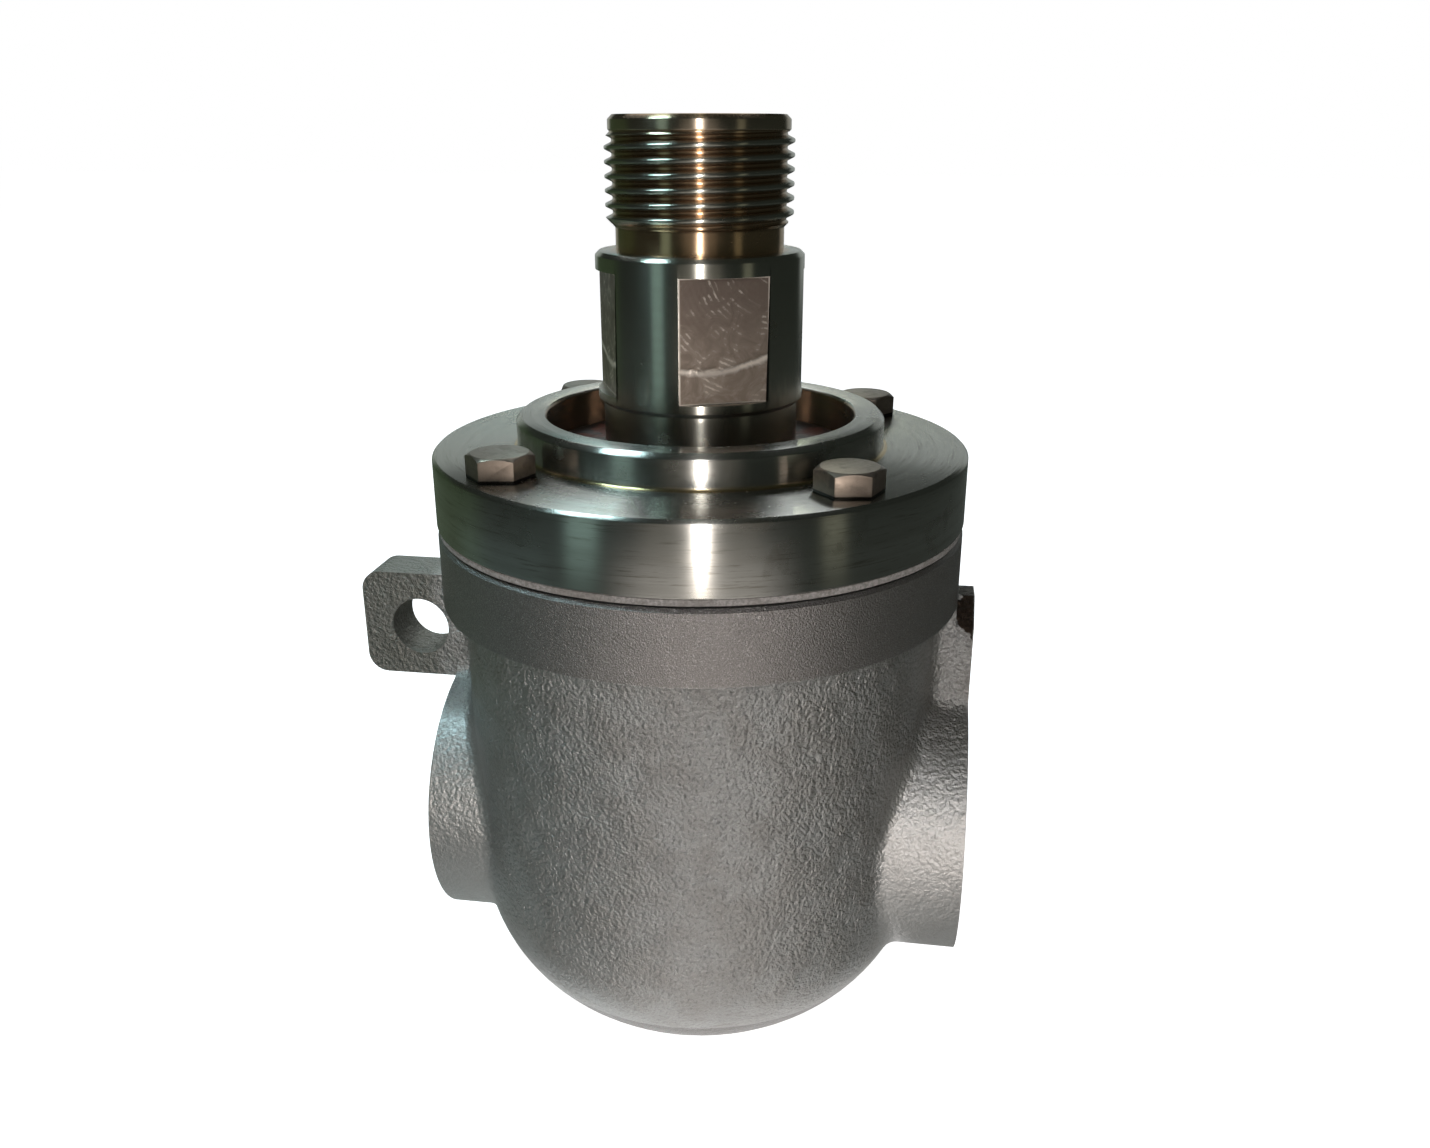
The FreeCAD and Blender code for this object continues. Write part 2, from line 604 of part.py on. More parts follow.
def build_cover():
    """The turned cover: flange, raised ring and the sleeve that carries the bearings."""
    body = new_body("cover")
    spin(body, "turned", [
        ("bearing_radius", SLEEVE_BOTTOM),
        (SLEEVE_RADIUS, SLEEVE_BOTTOM),
        (SLEEVE_RADIUS, FLANGE_BOTTOM),
        (less(FLANGE_RADIUS, "Sizes.flange_chamfer / 2"), FLANGE_BOTTOM),
        (FLANGE_RADIUS, total(FLANGE_BOTTOM, "Sizes.flange_chamfer / 2")),
        (FLANGE_RADIUS, less(FLANGE_TOP, "flange_chamfer")),
        (less(FLANGE_RADIUS, "flange_chamfer"), FLANGE_TOP),
        (total(HUB_RADIUS, "hub_round"), FLANGE_TOP),
        (HUB_RADIUS, total(FLANGE_TOP, "hub_round"), "-Sizes.hub_round"),
        (HUB_RADIUS, less(HUB_TOP, "hub_chamfer")),
        (less(HUB_RADIUS, "hub_chamfer"), HUB_TOP),
        (total("seal_radius", "Sizes.hub_chamfer / 2"), HUB_TOP),
        ("seal_radius", less(HUB_TOP, "Sizes.hub_chamfer / 2")),
        ("seal_radius", SEAL_BOTTOM),
        (SHOULDER_RADIUS, SEAL_BOTTOM),
        (SHOULDER_RADIUS, BEARING_TOP),
        ("bearing_radius", BEARING_TOP),
    ])
    groove_radius = total("bearing_radius", "cover_ring_bite")
    spin(body, "ring_groove", [
        (less("bearing_radius", PAST), less(BEARING_BOTTOM, "cover_ring_width")),
        (groove_radius, less(BEARING_BOTTOM, "cover_ring_width")),
        (groove_radius, BEARING_BOTTOM),
        (less("bearing_radius", PAST), BEARING_BOTTOM),
    ], kind="Groove")
    cut_ring_seat(body, "o_ring_seat", less(SLEEVE_RING_RADIUS, "sleeve_ring_section"),
                  total(SLEEVE_RADIUS, PAST), less(FLANGE_BOTTOM, "sleeve_ring_drop"), "sleeve_ring_section")
    sketch = new_sketch(body, "bolt_hole_circle", "XY_Plane", offset=FLANGE_TOP, turn=str(FIRST_BOLT_ANGLE))
    draw_circle(sketch, BOLT_CIRCLE, "0", total("bolt_radius", "bolt_play"))
    hole = extrude(body, "Pocket", "bolt_hole", sketch, total("flange_thickness", PAST))
    repeat(body, "bolt_holes", hole, "bolt_count")


def build_gasket():
    """The flat gasket between the cover and the housing."""
    body = new_body("cover_gasket")
    spin(body, "sheet", [
        (total(SPACE_RADIUS, "gasket_setback"), "housing_height"),
        (less(FLANGE_RADIUS, "gasket_setback"), "housing_height"),
        (less(FLANGE_RADIUS, "gasket_setback"), FLANGE_BOTTOM),
        (total(SPACE_RADIUS, "gasket_setback"), FLANGE_BOTTOM),
    ])
    sketch = new_sketch(body, "bolt_hole_circle", "XY_Plane", offset=FLANGE_BOTTOM, turn=str(FIRST_BOLT_ANGLE))
    draw_circle(sketch, BOLT_CIRCLE, "0", total("bolt_radius", "bolt_play"))
    hole = extrude(body, "Pocket", "bolt_hole", sketch, total("gasket_thickness", PAST))
    repeat(body, "bolt_holes", hole, "bolt_count")


def build_bolt(label, place_angle, head_turn):
    """A hexagon bolt with a chamfered head, standing on the flange at that angle round the axis.

    Its head came to rest turned by head_turn degrees from pointing a corner outwards.
    """
    body = new_body(label)
    sketch = new_sketch(body, "shank_circle", "XY_Plane", offset=FLANGE_TOP)
    draw_circle(sketch, "0", "0", "bolt_radius")
    extrude(body, "Pad", "shank", sketch, "bolt_length", reverse=True)
    sketch = new_sketch(body, "head_outline", "XY_Plane", offset=FLANGE_TOP)
    corner = "(Sizes.head_flats / sqrt(3))"
    half = "(Sizes.head_flats / 2)"
    draw_outline(sketch, [
        (corner, "0"),
        (f"({corner} / 2)", half),
        (f"(-{corner} / 2)", half),
        (f"-{corner}", "0"),
        (f"(-{corner} / 2)", f"-{half}"),
        (f"({corner} / 2)", f"-{half}"),
    ])
    extrude(body, "Pad", "head", sketch, "head_height")
    head_top = total(FLANGE_TOP, "head_height")
    chamfer_drop = f"(({corner} + {PAST} - Sizes.head_land) / sqrt(3))"
    spin(body, "head_chamfer", [
        ("head_land", head_top),
        (total(corner, PAST), less(head_top, chamfer_drop)),
        (total(corner, PAST), total(head_top, PAST)),
        ("head_land", total(head_top, PAST)),
    ], kind="Groove")
    angle = math.radians(place_angle)
    body.Placement = Placement(Vector(0, 0, 0), Rotation(Vector(0, 0, 1), place_angle + head_turn))
    body.setExpression("Placement.Base.x", f"{BOLT_CIRCLE} * {math.cos(angle):.9f}")
    body.setExpression("Placement.Base.y", f"{BOLT_CIRCLE} * {math.sin(angle):.9f}")


def build_cover_pieces():
    """Gasket, bolts, the sleeve's O-ring and the retaining ring of the bearings."""
    build_gasket()
    round_ring("sleeve_o_ring", SLEEVE_RING_RADIUS, less(FLANGE_BOTTOM, "sleeve_ring_drop"),
               "sleeve_ring_section")
    corners = ("bolt_back_right", "bolt_back_left", "bolt_front_left", "bolt_front_right")
    for quarter, (label, head_turn) in enumerate(zip(corners, BOLT_HEAD_TURNS)):
        build_bolt(label, FIRST_BOLT_ANGLE + 90 * quarter, head_turn)
    build_retaining_ring("cover_retaining_ring",
                         less("bearing_radius", less("cover_ring_reach", "cover_ring_bite")),
                         less(total("bearing_radius", "cover_ring_bite"), "seat_play"),
                         less(BEARING_BOTTOM, "cover_ring_width"),
                         "cover_ring_width", lug_sign=-1)


def build_retaining_ring(label, inner, outer, bottom, width, lug_sign):
    """An open snap ring with two eyes beside its gap, on the inside or the outside."""
    body = new_body(label)
    sketch = new_sketch(body, "ring_circles", "XY_Plane", offset=bottom)
    draw_circle(sketch, "0", "0", outer)
    draw_circle(sketch, "0", "0", inner)
    extrude(body, "Pad", "ring", sketch, width)
    beyond = lug_sign > 0
    eye_place = total(outer, "eye_shift") if beyond else less(inner, "eye_shift")
    top = total(bottom, width)
    for side, name in ((-1, "left"), (1, "right")):
        sketch = new_sketch(body, f"eye_circle_{name}", "XY_Plane", offset=bottom)
        draw_circle(sketch, f"{side} * Sizes.eye_spread", eye_place, "eye_radius")
        extrude(body, "Pad", f"eye_{name}", sketch, width)
        sketch = new_sketch(body, f"eye_hole_circle_{name}", "XY_Plane", offset=top)
        draw_circle(sketch, f"{side} * Sizes.eye_spread", eye_place, "eye_hole_radius")
        extrude(body, "Pocket", f"eye_hole_{name}", sketch, total(width, PAST))
    eye_reach = total("eye_shift", "eye_radius", PAST)
    near_end = less(inner, PAST) if beyond else less(inner, eye_reach)
    far_end = total(outer, eye_reach) if beyond else total(outer, PAST)
    sketch = new_sketch(body, "gap_outline", "XY_Plane", offset=top)
    draw_outline(sketch, [
        ("-Sizes.ring_gap / 2", near_end),
        ("Sizes.ring_gap / 2", near_end),
        ("Sizes.ring_gap / 2", far_end),
        ("-Sizes.ring_gap / 2", far_end),
    ])
    extrude(body, "Pocket", "gap", sketch, total(width, PAST))


# Dust seal


def build_dust_seal():
    """The lip seal at the rotor: rubber body, steel insert and garter spring."""
    lip = total("neck_radius", "running_play")
    insert_outer = less("seal_radius", "seal_skin")
    insert_top = less(SEAL_TOP, "insert_drop")
    turned("seal_lip", [
        (less("seal_radius", "seat_play"), SEAL_BOTTOM),
        (less("seal_radius", "seat_play"), SEAL_TOP),
        (total(lip, "dust_lip"), SEAL_TOP),
        (lip, less(SEAL_TOP, "dust_lip")),
        (total(lip, "lip_depth"), less(SEAL_TOP, "dust_lip", "lip_depth")),
        (lip, total(SEAL_BOTTOM, "lip_height")),
        (total(lip, "lip_depth"), SEAL_BOTTOM),
        (total(lip, "lip_back"), less(insert_top, "insert_thickness")),
        (total(lip, "lip_back"), insert_top),
        (insert_outer, insert_top),
        (insert_outer, SEAL_BOTTOM),
    ])
    case_outer = less(insert_outer, "seat_play")
    case_top = less(insert_top, "seat_play")
    turned("seal_case", [
        (case_outer, SEAL_BOTTOM),
        (case_outer, case_top),
        (total(lip, "insert_gap"), case_top),
        (total(lip, "insert_gap"), less(case_top, "insert_thickness")),
        (less(case_outer, "insert_thickness"), less(case_top, "insert_thickness")),
        (less(case_outer, "insert_thickness"), SEAL_BOTTOM),
    ])
    round_ring("garter_spring", total(lip, "garter_place"), total(SEAL_BOTTOM, "lip_height"), "garter_section")


# Ball bearings


def build_bearing(label, bottom):
    """A deep-groove ball bearing: two rings, a cage and the balls."""
    top = total(bottom, "bearing_width")
    middle = total(bottom, "Sizes.bearing_width / 2")
    inner = turned(f"{label}_inner_ring", [
        ("bearing_bore", bottom),
        (INNER_LAND, bottom),
        (INNER_LAND, top),
        ("bearing_bore", top),
    ])
    spin(inner, "track", eight_sides(PITCH_RADIUS, middle, TRACK_RADIUS), kind="Groove")
    outer = turned(f"{label}_outer_ring", [
        (OUTER_LAND, bottom),
        ("bearing_radius", bottom),
        ("bearing_radius", top),
        (OUTER_LAND, top),
    ])
    spin(outer, "track", eight_sides(PITCH_RADIUS, middle, TRACK_RADIUS), kind="Groove")
    cage_inner = less(PITCH_RADIUS, "Sizes.cage_thickness / 2")
    cage_outer = total(PITCH_RADIUS, "Sizes.cage_thickness / 2")
    cage = turned(f"{label}_cage", [
        (cage_inner, less(middle, "Sizes.cage_width / 2")),
        (cage_outer, less(middle, "Sizes.cage_width / 2")),
        (cage_outer, total(middle, "Sizes.cage_width / 2")),
        (cage_inner, total(middle, "Sizes.cage_width / 2")),
    ])
    sketch = new_sketch(cage, "pocket_outline", "YZ_Plane", offset=less(cage_inner, PAST))
    draw_outline(sketch, eight_sides("0", middle, TRACK_RADIUS))
    pocket = extrude(cage, "Pocket", "pocket", sketch, total("cage_thickness", f"2 * {PAST}"), reverse=True)
    repeat(cage, "pockets", pocket, "ball_count")
    balls = new_body(f"{label}_balls")
    sketch = new_sketch(balls, "ball_outline", "XY_Plane", offset=middle)
    draw_outline(sketch, eight_sides(PITCH_RADIUS, "0", "ball_radius"))
    ball = extrude(balls, "Pad", "ball", sketch, "Sizes.ball_radius * 2", symmetric=True)
    facet = f"(Sizes.ball_radius * {1 - math.tan(math.radians(22.5)):.9f})"

    def is_level(edge):
        ends = [vertex.Point for vertex in edge.Vertexes]
        return near(ends[0].z, ends[-1].z)

    bevel = dress(balls, "Chamfer", "ball_facets", "Size", facet, is_level)
    repeat(balls, "ball_row", [ball, bevel], "ball_count")


def build_bearings():
    """Both bearings and the spacers between them."""
    build_bearing("upper_bearing", SPACER_TOP)
    build_bearing("lower_bearing", BEARING_BOTTOM)
    turned("outer_spacer", [
        (less("bearing_radius", "spacer_wall"), SPACER_BOTTOM),
        (less("bearing_radius", "seat_play"), SPACER_BOTTOM),
        (less("bearing_radius", "seat_play"), SPACER_TOP),
        (less("bearing_radius", "spacer_wall"), SPACER_TOP),
    ])
    turned("inner_spacer", [
        (total("bearing_bore", "seat_play"), SPACER_BOTTOM),
        (total("bearing_bore", "spacer_wall"), SPACER_BOTTOM),
        (total("bearing_bore", "spacer_wall"), SPACER_TOP),
        (total("bearing_bore", "seat_play"), SPACER_TOP),
    ])


# Rotor


def build_rotor():
    """The hollow rotor with its threaded end, wrench flats, neck, journal and nose."""
    body = new_body("rotor")
    spin(body, "turned", [
        ("rotor_bore", NOSE_BOTTOM),
        ("nose_radius", NOSE_BOTTOM),
        ("nose_radius", JOURNAL_BOTTOM),
        ("bearing_bore", JOURNAL_BOTTOM),
        ("bearing_bore", BEARING_TOP),
        ("neck_radius", BEARING_TOP),
        ("neck_radius", SPINDLE_BOTTOM),
        (less(SPINDLE_RADIUS, "spindle_chamfer"), SPINDLE_BOTTOM),
        (SPINDLE_RADIUS, total(SPINDLE_BOTTOM, "spindle_chamfer")),
        (SPINDLE_RADIUS, less(SPINDLE_TOP, "spindle_chamfer")),
        (less(SPINDLE_RADIUS, "spindle_chamfer"), SPINDLE_TOP),
        ("relief_radius", SPINDLE_TOP),
        ("relief_radius", THREAD_BOTTOM),
        ("thread_radius", total(THREAD_BOTTOM, less("thread_radius", "relief_radius"))),
        ("thread_radius", less(THREAD_TOP, less("thread_radius", "pilot_radius"))),
        ("pilot_radius", THREAD_TOP),
        ("pilot_radius", less(ROTOR_TOP, "pilot_chamfer")),
        (less("pilot_radius", "pilot_chamfer"), ROTOR_TOP),
        (total("rotor_bore", "pilot_chamfer"), ROTOR_TOP),
        ("rotor_bore", less(ROTOR_TOP, "pilot_chamfer")),
    ])
    groove_radius = less("bearing_bore", "rotor_ring_bite")
    spin(body, "ring_groove", [
        (groove_radius, less(BEARING_BOTTOM, "rotor_ring_width")),
        (total("bearing_bore", PAST), less(BEARING_BOTTOM, "rotor_ring_width")),
        (total("bearing_bore", PAST), BEARING_BOTTOM),
        (groove_radius, BEARING_BOTTOM),
    ], kind="Groove")
    cut_ring_seat(body, "o_ring_seat", less(NOSE_RING_RADIUS, "nose_ring_section", "seat_play"),
                  total("nose_radius", PAST), NOSE_RING_HEIGHT, "nose_ring_section")
    flat_top = less(SPINDLE_TOP, "flat_setback")
    sketch = new_sketch(body, "flat_outline", "XY_Plane", offset=flat_top, turn=less("flat_turn", "90"))
    draw_outline(sketch, [
        (FLAT_DISTANCE, f"-{SPINDLE_RADIUS}"),
        (total(SPINDLE_RADIUS, PAST), f"-{SPINDLE_RADIUS}"),
        (total(SPINDLE_RADIUS, PAST), SPINDLE_RADIUS),
        (FLAT_DISTANCE, SPINDLE_RADIUS),
    ])
    flat = extrude(body, "Pocket", "flat", sketch, "flat_length")
    repeat(body, "flats", flat, "4")


def build_rotor_pieces():
    """What the rotor carries below the bearings: retaining ring, turning seal ring and its O-ring."""
    build_retaining_ring("rotor_retaining_ring",
                         total(less("bearing_bore", "rotor_ring_bite"), "seat_play"),
                         total(less("bearing_bore", "rotor_ring_bite"), "rotor_ring_reach"),
                         less(BEARING_BOTTOM, "rotor_ring_width"),
                         "rotor_ring_width", lug_sign=1)
    turned("face_ring", [
        ("rotor_bore", SEAL_FACE),
        ("face_ring_radius", SEAL_FACE),
        ("face_ring_radius", JOURNAL_BOTTOM),
        (total("nose_radius", "seat_play"), JOURNAL_BOTTOM),
        (total("nose_radius", "seat_play"), NOSE_BOTTOM),
        ("rotor_bore", NOSE_BOTTOM),
    ])
    round_ring("face_ring_o_ring", NOSE_RING_RADIUS, NOSE_RING_HEIGHT, "nose_ring_section")


# Floating seal


def build_floating_seal():
    """The carbon ring in its carrier, the drive pins, the O-ring of the guide and the spring."""
    carbon_top = less(SEAL_FACE, "seal_face_height")
    turned("carbon_ring", [
        ("carrier_bore", CARBON_BOTTOM),
        (less("carbon_radius", "seat_play"), CARBON_BOTTOM),
        (less("carbon_radius", "seat_play"), carbon_top),
        ("seal_face_outer", carbon_top),
        ("seal_face_outer", SEAL_FACE),
        ("seal_face_inner", SEAL_FACE),
        ("seal_face_inner", carbon_top),
        ("carrier_bore", carbon_top),
    ])
    carrier = turned("seal_carrier", [
        ("carrier_bore", TUBE_BOTTOM),
        ("tube_radius", TUBE_BOTTOM),
        ("tube_radius", CUP_BOTTOM),
        ("carrier_radius", CUP_BOTTOM),
        ("carrier_radius", total(CARBON_BOTTOM, "carrier_rim")),
        ("carbon_radius", total(CARBON_BOTTOM, "carrier_rim")),
        ("carbon_radius", CARBON_BOTTOM),
        ("carrier_bore", CARBON_BOTTOM),
    ])
    pin_height = total(CUP_BOTTOM, "Sizes.carrier_floor / 2")
    pin_root = less("carrier_radius", "pin_seat")
    sketch = new_sketch(carrier, "pin_hole_circle", "XZ_Plane", offset=f"-{pin_root}")
    draw_circle(sketch, "0", pin_height, total("pin_radius", "seat_play"))
    hole = extrude(carrier, "Pocket", "pin_hole", sketch, total("pin_seat", PAST), reverse=False)
    repeat(carrier, "pin_holes", hole, "2")
    for label, sign, reverse in (("drive_pin_back", "-", True), ("drive_pin_front", "", False)):
        pin = new_body(label)
        sketch = new_sketch(pin, "circle", "XZ_Plane", offset=f"{sign}{pin_root}")
        draw_circle(sketch, "0", pin_height, "pin_radius")
        extrude(pin, "Pad", "pin", sketch, less("pin_reach", pin_root), reverse=reverse)
    round_ring("guide_o_ring", GUIDE_RING_RADIUS, GUIDE_RING_HEIGHT, "guide_ring_section")
    build_spring()


def build_spring():
    """The coil spring round the carrier's tube, between the socket's floor and the cup."""
    body = new_body("seal_spring")
    rise = less(CUP_BOTTOM, SOCKET_FLOOR, "spring_wire", "Sizes.seat_play * 2")
    inner = total("tube_radius", "spring_play")
    bottom = total(SOCKET_FLOOR, "seat_play")
    sketch = new_sketch(body, "wire_outline", "XZ_Plane")
    draw_outline(sketch, [
        (inner, bottom),
        (total(inner, "spring_wire"), bottom),
        (total(inner, "spring_wire"), total(bottom, "spring_wire")),
        (inner, total(bottom, "spring_wire")),
    ])
    coil = add_feature(body, "AdditiveHelix", "coil", sketch)
    coil.ReferenceAxis = (sketch, ["V_Axis"])
    coil.Mode = "height-turns-angle"
    coil.Height = value(rise)
    coil.setExpression("Height", rise)
    coil.Turns = value("spring_turns")
    coil.setExpression("Turns", size("spring_turns"))


def check_model():
    """Stop if an object failed, a cut removed nothing or a sub-part has no sound solid."""
    for item in doc.Objects:
        if "Invalid" in item.State or "Error" in item.State:
            raise RuntimeError(f"{item.Label} failed: {item.State}")
        if item.TypeId in ("PartDesign::Pocket", "PartDesign::Groove"):
            if item.Shape.Volume > item.BaseFeature.Shape.Volume - TINY:
                raise RuntimeError(f"{item.Label} cuts nothing")
    for body in bodies():
        if body.Shape.isNull() or not body.Shape.isValid() or not body.Shape.Solids:
            raise RuntimeError(f"{body.Label} has no sound solid")


def bodies():
    """Every sub-part."""
    return [item for item in doc.Objects if item.TypeId == "PartDesign::Body"]


def export_parts():
    """Write each sub-part to its own file."""
    os.makedirs("parts", exist_ok=True)
    for body in bodies():
        body.Shape.exportStep(f"parts/{body.Label}.step")


fill_sheet()
build_housing()
build_cover()
build_cover_pieces()
build_dust_seal()
build_bearings()
build_rotor()
build_rotor_pieces()
build_floating_seal()
doc.recompute()
check_model()
export_parts()
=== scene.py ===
import json
import math

import bmesh
import bpy
from mathutils import Matrix, Vector


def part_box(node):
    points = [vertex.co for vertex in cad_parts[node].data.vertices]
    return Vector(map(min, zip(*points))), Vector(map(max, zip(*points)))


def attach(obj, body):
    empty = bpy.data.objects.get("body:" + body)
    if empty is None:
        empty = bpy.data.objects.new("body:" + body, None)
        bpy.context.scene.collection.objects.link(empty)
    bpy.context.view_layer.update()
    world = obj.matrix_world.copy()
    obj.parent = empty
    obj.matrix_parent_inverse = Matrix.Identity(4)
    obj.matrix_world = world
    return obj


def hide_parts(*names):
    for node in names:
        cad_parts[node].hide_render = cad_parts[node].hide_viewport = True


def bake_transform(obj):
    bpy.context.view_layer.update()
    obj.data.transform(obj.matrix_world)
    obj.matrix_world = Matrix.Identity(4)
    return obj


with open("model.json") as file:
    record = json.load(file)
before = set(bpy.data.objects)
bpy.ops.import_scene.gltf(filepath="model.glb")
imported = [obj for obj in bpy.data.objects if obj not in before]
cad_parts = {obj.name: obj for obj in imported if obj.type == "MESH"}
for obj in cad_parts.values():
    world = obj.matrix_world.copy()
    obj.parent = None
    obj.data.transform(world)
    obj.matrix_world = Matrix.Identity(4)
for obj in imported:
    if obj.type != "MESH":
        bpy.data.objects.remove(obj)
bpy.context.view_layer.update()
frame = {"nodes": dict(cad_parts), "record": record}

MM = 0.001
STEPS_ROUND = 192

# Levels and radii that the solids' boxes give, and two that follow from them.
FLANGE_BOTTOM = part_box("cover_gasket")[1].z
FLANGE_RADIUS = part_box("cover")[1].x
HUB_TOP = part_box("cover")[1].z
SLEEVE_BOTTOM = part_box("cover")[0].z
JOINT_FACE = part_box("housing")[1].z
ROTOR_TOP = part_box("rotor")[1].z
ROTOR_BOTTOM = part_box("rotor")[0].z
SPINDLE_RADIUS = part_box("rotor")[1].x
FLANGE_TOP = FLANGE_BOTTOM + 16.4 * MM
RIM_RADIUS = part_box("housing")[1].y
RIM_BOTTOM = JOINT_FACE - 16.9 * MM
RIGHT_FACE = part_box("housing")[1].x

# Where the housing's finish changes, and where light and shade are painted on it: heights, and distances
# from its middle.
LEFT_FACE = 62.5 * MM
EAR_BOTTOM = 83.0 * MM
EAR_START = 64.0 * MM
EAR_FULL = 70.0 * MM
BOSS_TOP = 78.0 * MM
BOSS_START = 44.0 * MM
BOSS_FULL = 50.0 * MM
CHAMBER_RADIUS = 50.0 * MM

# The torn upper corner of the right ear, and how far its edge strays.
TORN_HEIGHT = 103.5 * MM
TORN_REACH = 61.5 * MM
TORN_STRAY = 18.0 * MM

# The rotor's turned steps.
BORE_RADIUS = 14.0 * MM
PILOT_RADIUS = 20.1 * MM
PILOT_LENGTH = 3.6 * MM
THREAD_RADIUS = 21.0 * MM
THREAD_ROOT = 19.35 * MM
THREAD_PITCH = 3.0 * MM
THREAD_PARTS = 16
THREAD_FULLNESS = 0.62
THREAD_TOP = ROTOR_TOP - PILOT_LENGTH
THREAD_BOTTOM = THREAD_TOP - 19.8 * MM
RELIEF_RADIUS = 18.9 * MM
SPINDLE_TOP = THREAD_BOTTOM - 5.1 * MM
SPINDLE_BOTTOM = SPINDLE_TOP - 33.7 * MM
SPINDLE_CHAMFER = 0.9 * MM
PILOT_EASE = 0.5 * MM
ROTOR_END_CHAMFER = 1.0 * MM
NECK_RADIUS = 22.5 * MM
FLAT_DISTANCE = 21.4 * MM
FLAT_TOP = SPINDLE_TOP - 3.9 * MM
FLAT_BOTTOM = FLAT_TOP - 27.0 * MM
FLAT_TURN = math.radians(23.5)
RUB_HEIGHT = FLAT_BOTTOM + 8.0 * MM
RUB_SLOPE = -0.13
RUB_BEND = 14.0
RUB_STRAY = 1.6 * MM
BEARING_TOP = 135.0 * MM
JOURNAL_BOTTOM = 93.0 * MM
NOSE_RADIUS = 17.5 * MM
JOURNAL_RADIUS = 20.0 * MM

# The cover's turned steps, roundings and chamfers.
HUB_RADIUS = 43.0 * MM
HUB_ROUND = 0.8 * MM
HUB_CHAMFER = 1.2 * MM
FOOT_PARTS = 6
FLANGE_EASE = 0.4 * MM
FLANGE_CHAMFER = 0.8 * MM
BORE_CHAMFER = 0.6 * MM
SEAL_RADIUS = 36.0 * MM
SEAL_BOTTOM = 138.0 * MM
SHOULDER_RADIUS = 31.0 * MM
BEARING_RADIUS = 34.0 * MM
SLEEVE_RADIUS = 42.0 * MM
GASKET_INNER = 42.45 * MM

# The seal's spring.
SPRING_WIRE = 2.2 * MM
SPRING_TURNS = 2.5

# The bolts.
BOLT_CIRCLE = 52.5 * MM
HEAD_HEIGHT = 5.3 * MM
HEAD_FLATS = 13.0 * MM
HEAD_LAND = 6.2 * MM


# Mesh work


def spun(outline, closed, steps, turns=1, pitch=0.0):
    """An outline of (radius, height) carried round the rotor's axis, and up by a pitch each turn.

    Steps are those of one turn.
    """
    shape = bmesh.new()
    corners = [shape.verts.new((radius, 0, height)) for radius, height in outline]
    sides = [shape.edges.new(pair) for pair in zip(corners, corners[1:])]
    if closed:
        sides.append(shape.edges.new((corners[-1], corners[0])))
    bmesh.ops.spin(shape, geom=corners + sides, cent=(0, 0, 0), axis=(0, 0, 1), angle=math.tau * turns,
                   steps=int(steps * turns), dvec=(0, 0, pitch / steps), use_merge=not pitch)
    return shape


def turned(outline, soften, steps=STEPS_ROUND):
    """An outline turned once round the rotor's axis, its sharp rings softened.

    The outline closes on itself, unless it starts and ends on the axis.
    """
    shape = spun(outline, closed=outline[0][0] > 0, steps=steps)
    bmesh.ops.remove_doubles(shape, verts=shape.verts[:], dist=1e-7)
    bmesh.ops.recalc_face_normals(shape, faces=shape.faces[:])
    soften_rings(shape, soften)
    return shape


def is_ring_edge(edge):
    """Whether an edge runs round the axis at one height."""
    first, last = (corner.co for corner in edge.verts)
    level = abs(first.z - last.z) < 1e-6
    return level and abs(first.xy.length - last.xy.length) < 1e-6


def soften_rings(shape, width, least_angle=20):
    """Bevel the rings at which two turned faces meet at an angle."""
    rings = [edge for edge in shape.edges
             if len(edge.link_faces) == 2 and is_ring_edge(edge)
             and edge.calc_face_angle(0) > math.radians(least_angle)]
    soften_edges(shape, rings, width)


def piece_from(shape, name, materials, body, stands_for=(), sharp=32):
    """A finished object from a bmesh: merged, smooth between sharp edges, and riding on any body named."""
    bmesh.ops.remove_doubles(shape, verts=shape.verts[:], dist=1e-6)
    piece = object_of(shape, name, materials)
    piece.data.shade_smooth()
    piece.data.set_sharp_from_angle(angle=math.radians(sharp))
    if body:
        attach(piece, body)
    if stands_for:
        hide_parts(*stands_for)
    return piece


def cut_away(shape, cutters, operation="DIFFERENCE"):
    """The shape with the cutters taken from it, or the part that it shares with them."""
    holder = object_of(shape, "blank")
    tool = object_of(cutters, "cutter")
    cut = holder.modifiers.new("cut", "BOOLEAN")
    cut.operation = operation
    cut.solver = "EXACT"
    cut.object = tool
    graph = bpy.context.evaluated_depsgraph_get()
    result = bmesh.new()
    result.from_object(holder, graph)
    for used in (holder, tool):
        mesh = used.data
        bpy.data.objects.remove(used)
        bpy.data.meshes.remove(mesh)
    return result


def object_of(shape, name, materials=()):
    """An object that holds a bmesh's faces."""
    mesh = bpy.data.meshes.new(name)
    shape.to_mesh(mesh)
    shape.free()
    for material in materials:
        mesh.materials.append(material)
    holder = bpy.data.objects.new(name, mesh)
    bpy.context.scene.collection.objects.link(holder)
    return holder


def soften_edges(shape, edges, width):
    """Bevel the given edges evenly."""
    bmesh.ops.bevel(shape, geom=edges, offset=width, offset_type="OFFSET", segments=2, profile=0.5,
                    affect="EDGES", material=-1, clamp_overlap=True)


# Shader groups and nodes


SCRATCHES_ROUND = 7.0
SCRATCHES_ACROSS = 2600.0


def feed(tree, socket, given):
    """Link an input to another node's output, or set it to a value."""
    if isinstance(given, bpy.types.NodeSocket):
        tree.links.new(given, socket)
    else:
        socket.default_value = given


def add_node(tree, kind, inputs=None, **settings):
    """A shader node with its settings, and its inputs set or linked by name or number."""
    made = tree.nodes.new(kind)
    for name, setting in settings.items():
        setattr(made, name, setting)
    for name, given in (inputs or {}).items():
        feed(tree, made.inputs[name], given)
    return made


def maths(tree, operation, first, second=0.0, clamp=False):
    """One step of arithmetic on two values or sockets."""
    made = add_node(tree, "ShaderNodeMath", {0: first, 1: second}, operation=operation, use_clamp=clamp)
    return made.outputs[0]


